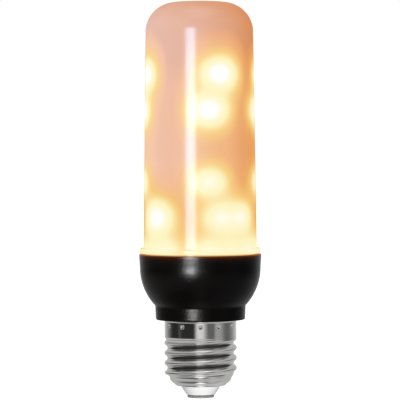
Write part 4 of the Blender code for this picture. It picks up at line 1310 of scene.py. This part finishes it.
def room_in_metal(tree, x, y, z):
    """Walls at eye level, a soft middle light, a light overhead and one on the floor."""
    walls = room_walls(maths(tree, "ARCTAN2", x, -y) * (360.0 / FULL_TURN))
    overhead = ramp(abs(x - OVERHEAD_ASIDE), [(place, grey(light)[:3]) for place, light in OVERHEAD_LIGHT])
    overhead = blend(smooth_rise(y, *OVERHEAD_ENDS), overhead, grey(BEHIND_OVERHEAD))
    lower = blend(smooth_rise(abs(z), *MIDDLE_FROM), walls, grey(MIDDLE_LIGHT))
    upper = blend(smooth_rise(z, *OVERHEAD_FROM), lower, overhead)
    haze = smooth_rise(x, *HAZE_SIDE) * HAZE + HAZE
    floor = blend(smooth_rise(abs(z), *FLOOR_SPOT), walls * WALLS_IN_HAZE + haze, grey(FLOOR_LIGHT))
    return blend(smooth_rise(-z, *FLOOR_FROM), upper, floor)


def add_light(name, size, radiance, tint, receivers):
    """An area light of even brightness that lights only the named pieces."""
    data = bpy.data.lights.new(name, "AREA")
    data.shape = "RECTANGLE"
    data.size, data.size_y = size
    data.energy = radiance * math.pi * data.size * data.size_y
    data.color = tint
    light = bpy.data.objects.new(name, data)
    bpy.context.scene.collection.objects.link(light)
    lit = bpy.data.collections.new("lit by the " + name)
    for receiver in receivers:
        lit.objects.link(bpy.data.objects[receiver])
    light.light_linking.receiver_collection = lit
    return light


def strip_size(studio, width):
    return width, studio.strip_high - studio.strip_low


def hang_strip(light, studio, turn):
    """Place a strip light whose reflection runs up the bulb; it adds no matt light."""
    middle = (studio.strip_high + studio.strip_low) / 2
    place = (studio.strip_distance * math.sin(turn), -studio.strip_distance * math.cos(turn), middle)
    aim(light, place, (0.0, 0.0, middle))
    light.visible_diffuse = False


def add_soft(name, size, radiance, receivers, place, target_height):
    """A soft light for matt surfaces, which shows in no reflection."""
    light = add_light(name, size, radiance, (1.0, 1.0, 1.0), receivers)
    aim(light, place, (0.0, 0.0, target_height))
    light.visible_glossy = False


# The add-on


SETTINGS = (
    ("bulb_cover", CoverSettings),
    ("bulb_housing", HousingSettings),
    ("bulb_cap", CapSettings),
    ("bulb_flame", FlameSettings),
    ("bulb_studio", StudioSettings),
)
STEPS = (
    BULB_OT_cover,
    BULB_OT_housing,
    BULB_OT_shell,
    BULB_OT_contact,
    BULB_OT_led_board,
    BULB_OT_inner_parts,
    BULB_OT_stage,
)


class BULB_PT_panel(bpy.types.Panel):
    """The steps that build the bulb, in order"""

    bl_label = "Flame bulb"
    bl_idname = "BULB_PT_panel"
    bl_space_type = "VIEW_3D"
    bl_region_type = "UI"
    bl_category = "Flame bulb"

    def draw(self, context):
        for step in STEPS:
            self.layout.operator(step.bl_idname)


def register():
    for name, settings in SETTINGS:
        bpy.utils.register_class(settings)
        setattr(bpy.types.Scene, name, bpy.props.PointerProperty(type=settings))
    for step in STEPS:
        bpy.utils.register_class(step)
    bpy.utils.register_class(BULB_PT_panel)


def unregister():
    bpy.utils.unregister_class(BULB_PT_panel)
    for step in reversed(STEPS):
        bpy.utils.unregister_class(step)
    for name, settings in reversed(SETTINGS):
        delattr(bpy.types.Scene, name)
        bpy.utils.unregister_class(settings)


def main():
    register()
    bpy.ops.bulb.cover()
    bpy.ops.bulb.housing()
    bpy.ops.bulb.shell()
    bpy.ops.bulb.contact()
    bpy.ops.bulb.led_board()
    bpy.ops.bulb.inner_parts()
    bpy.ops.bulb.stage()


if __name__ == "__main__":
    main()
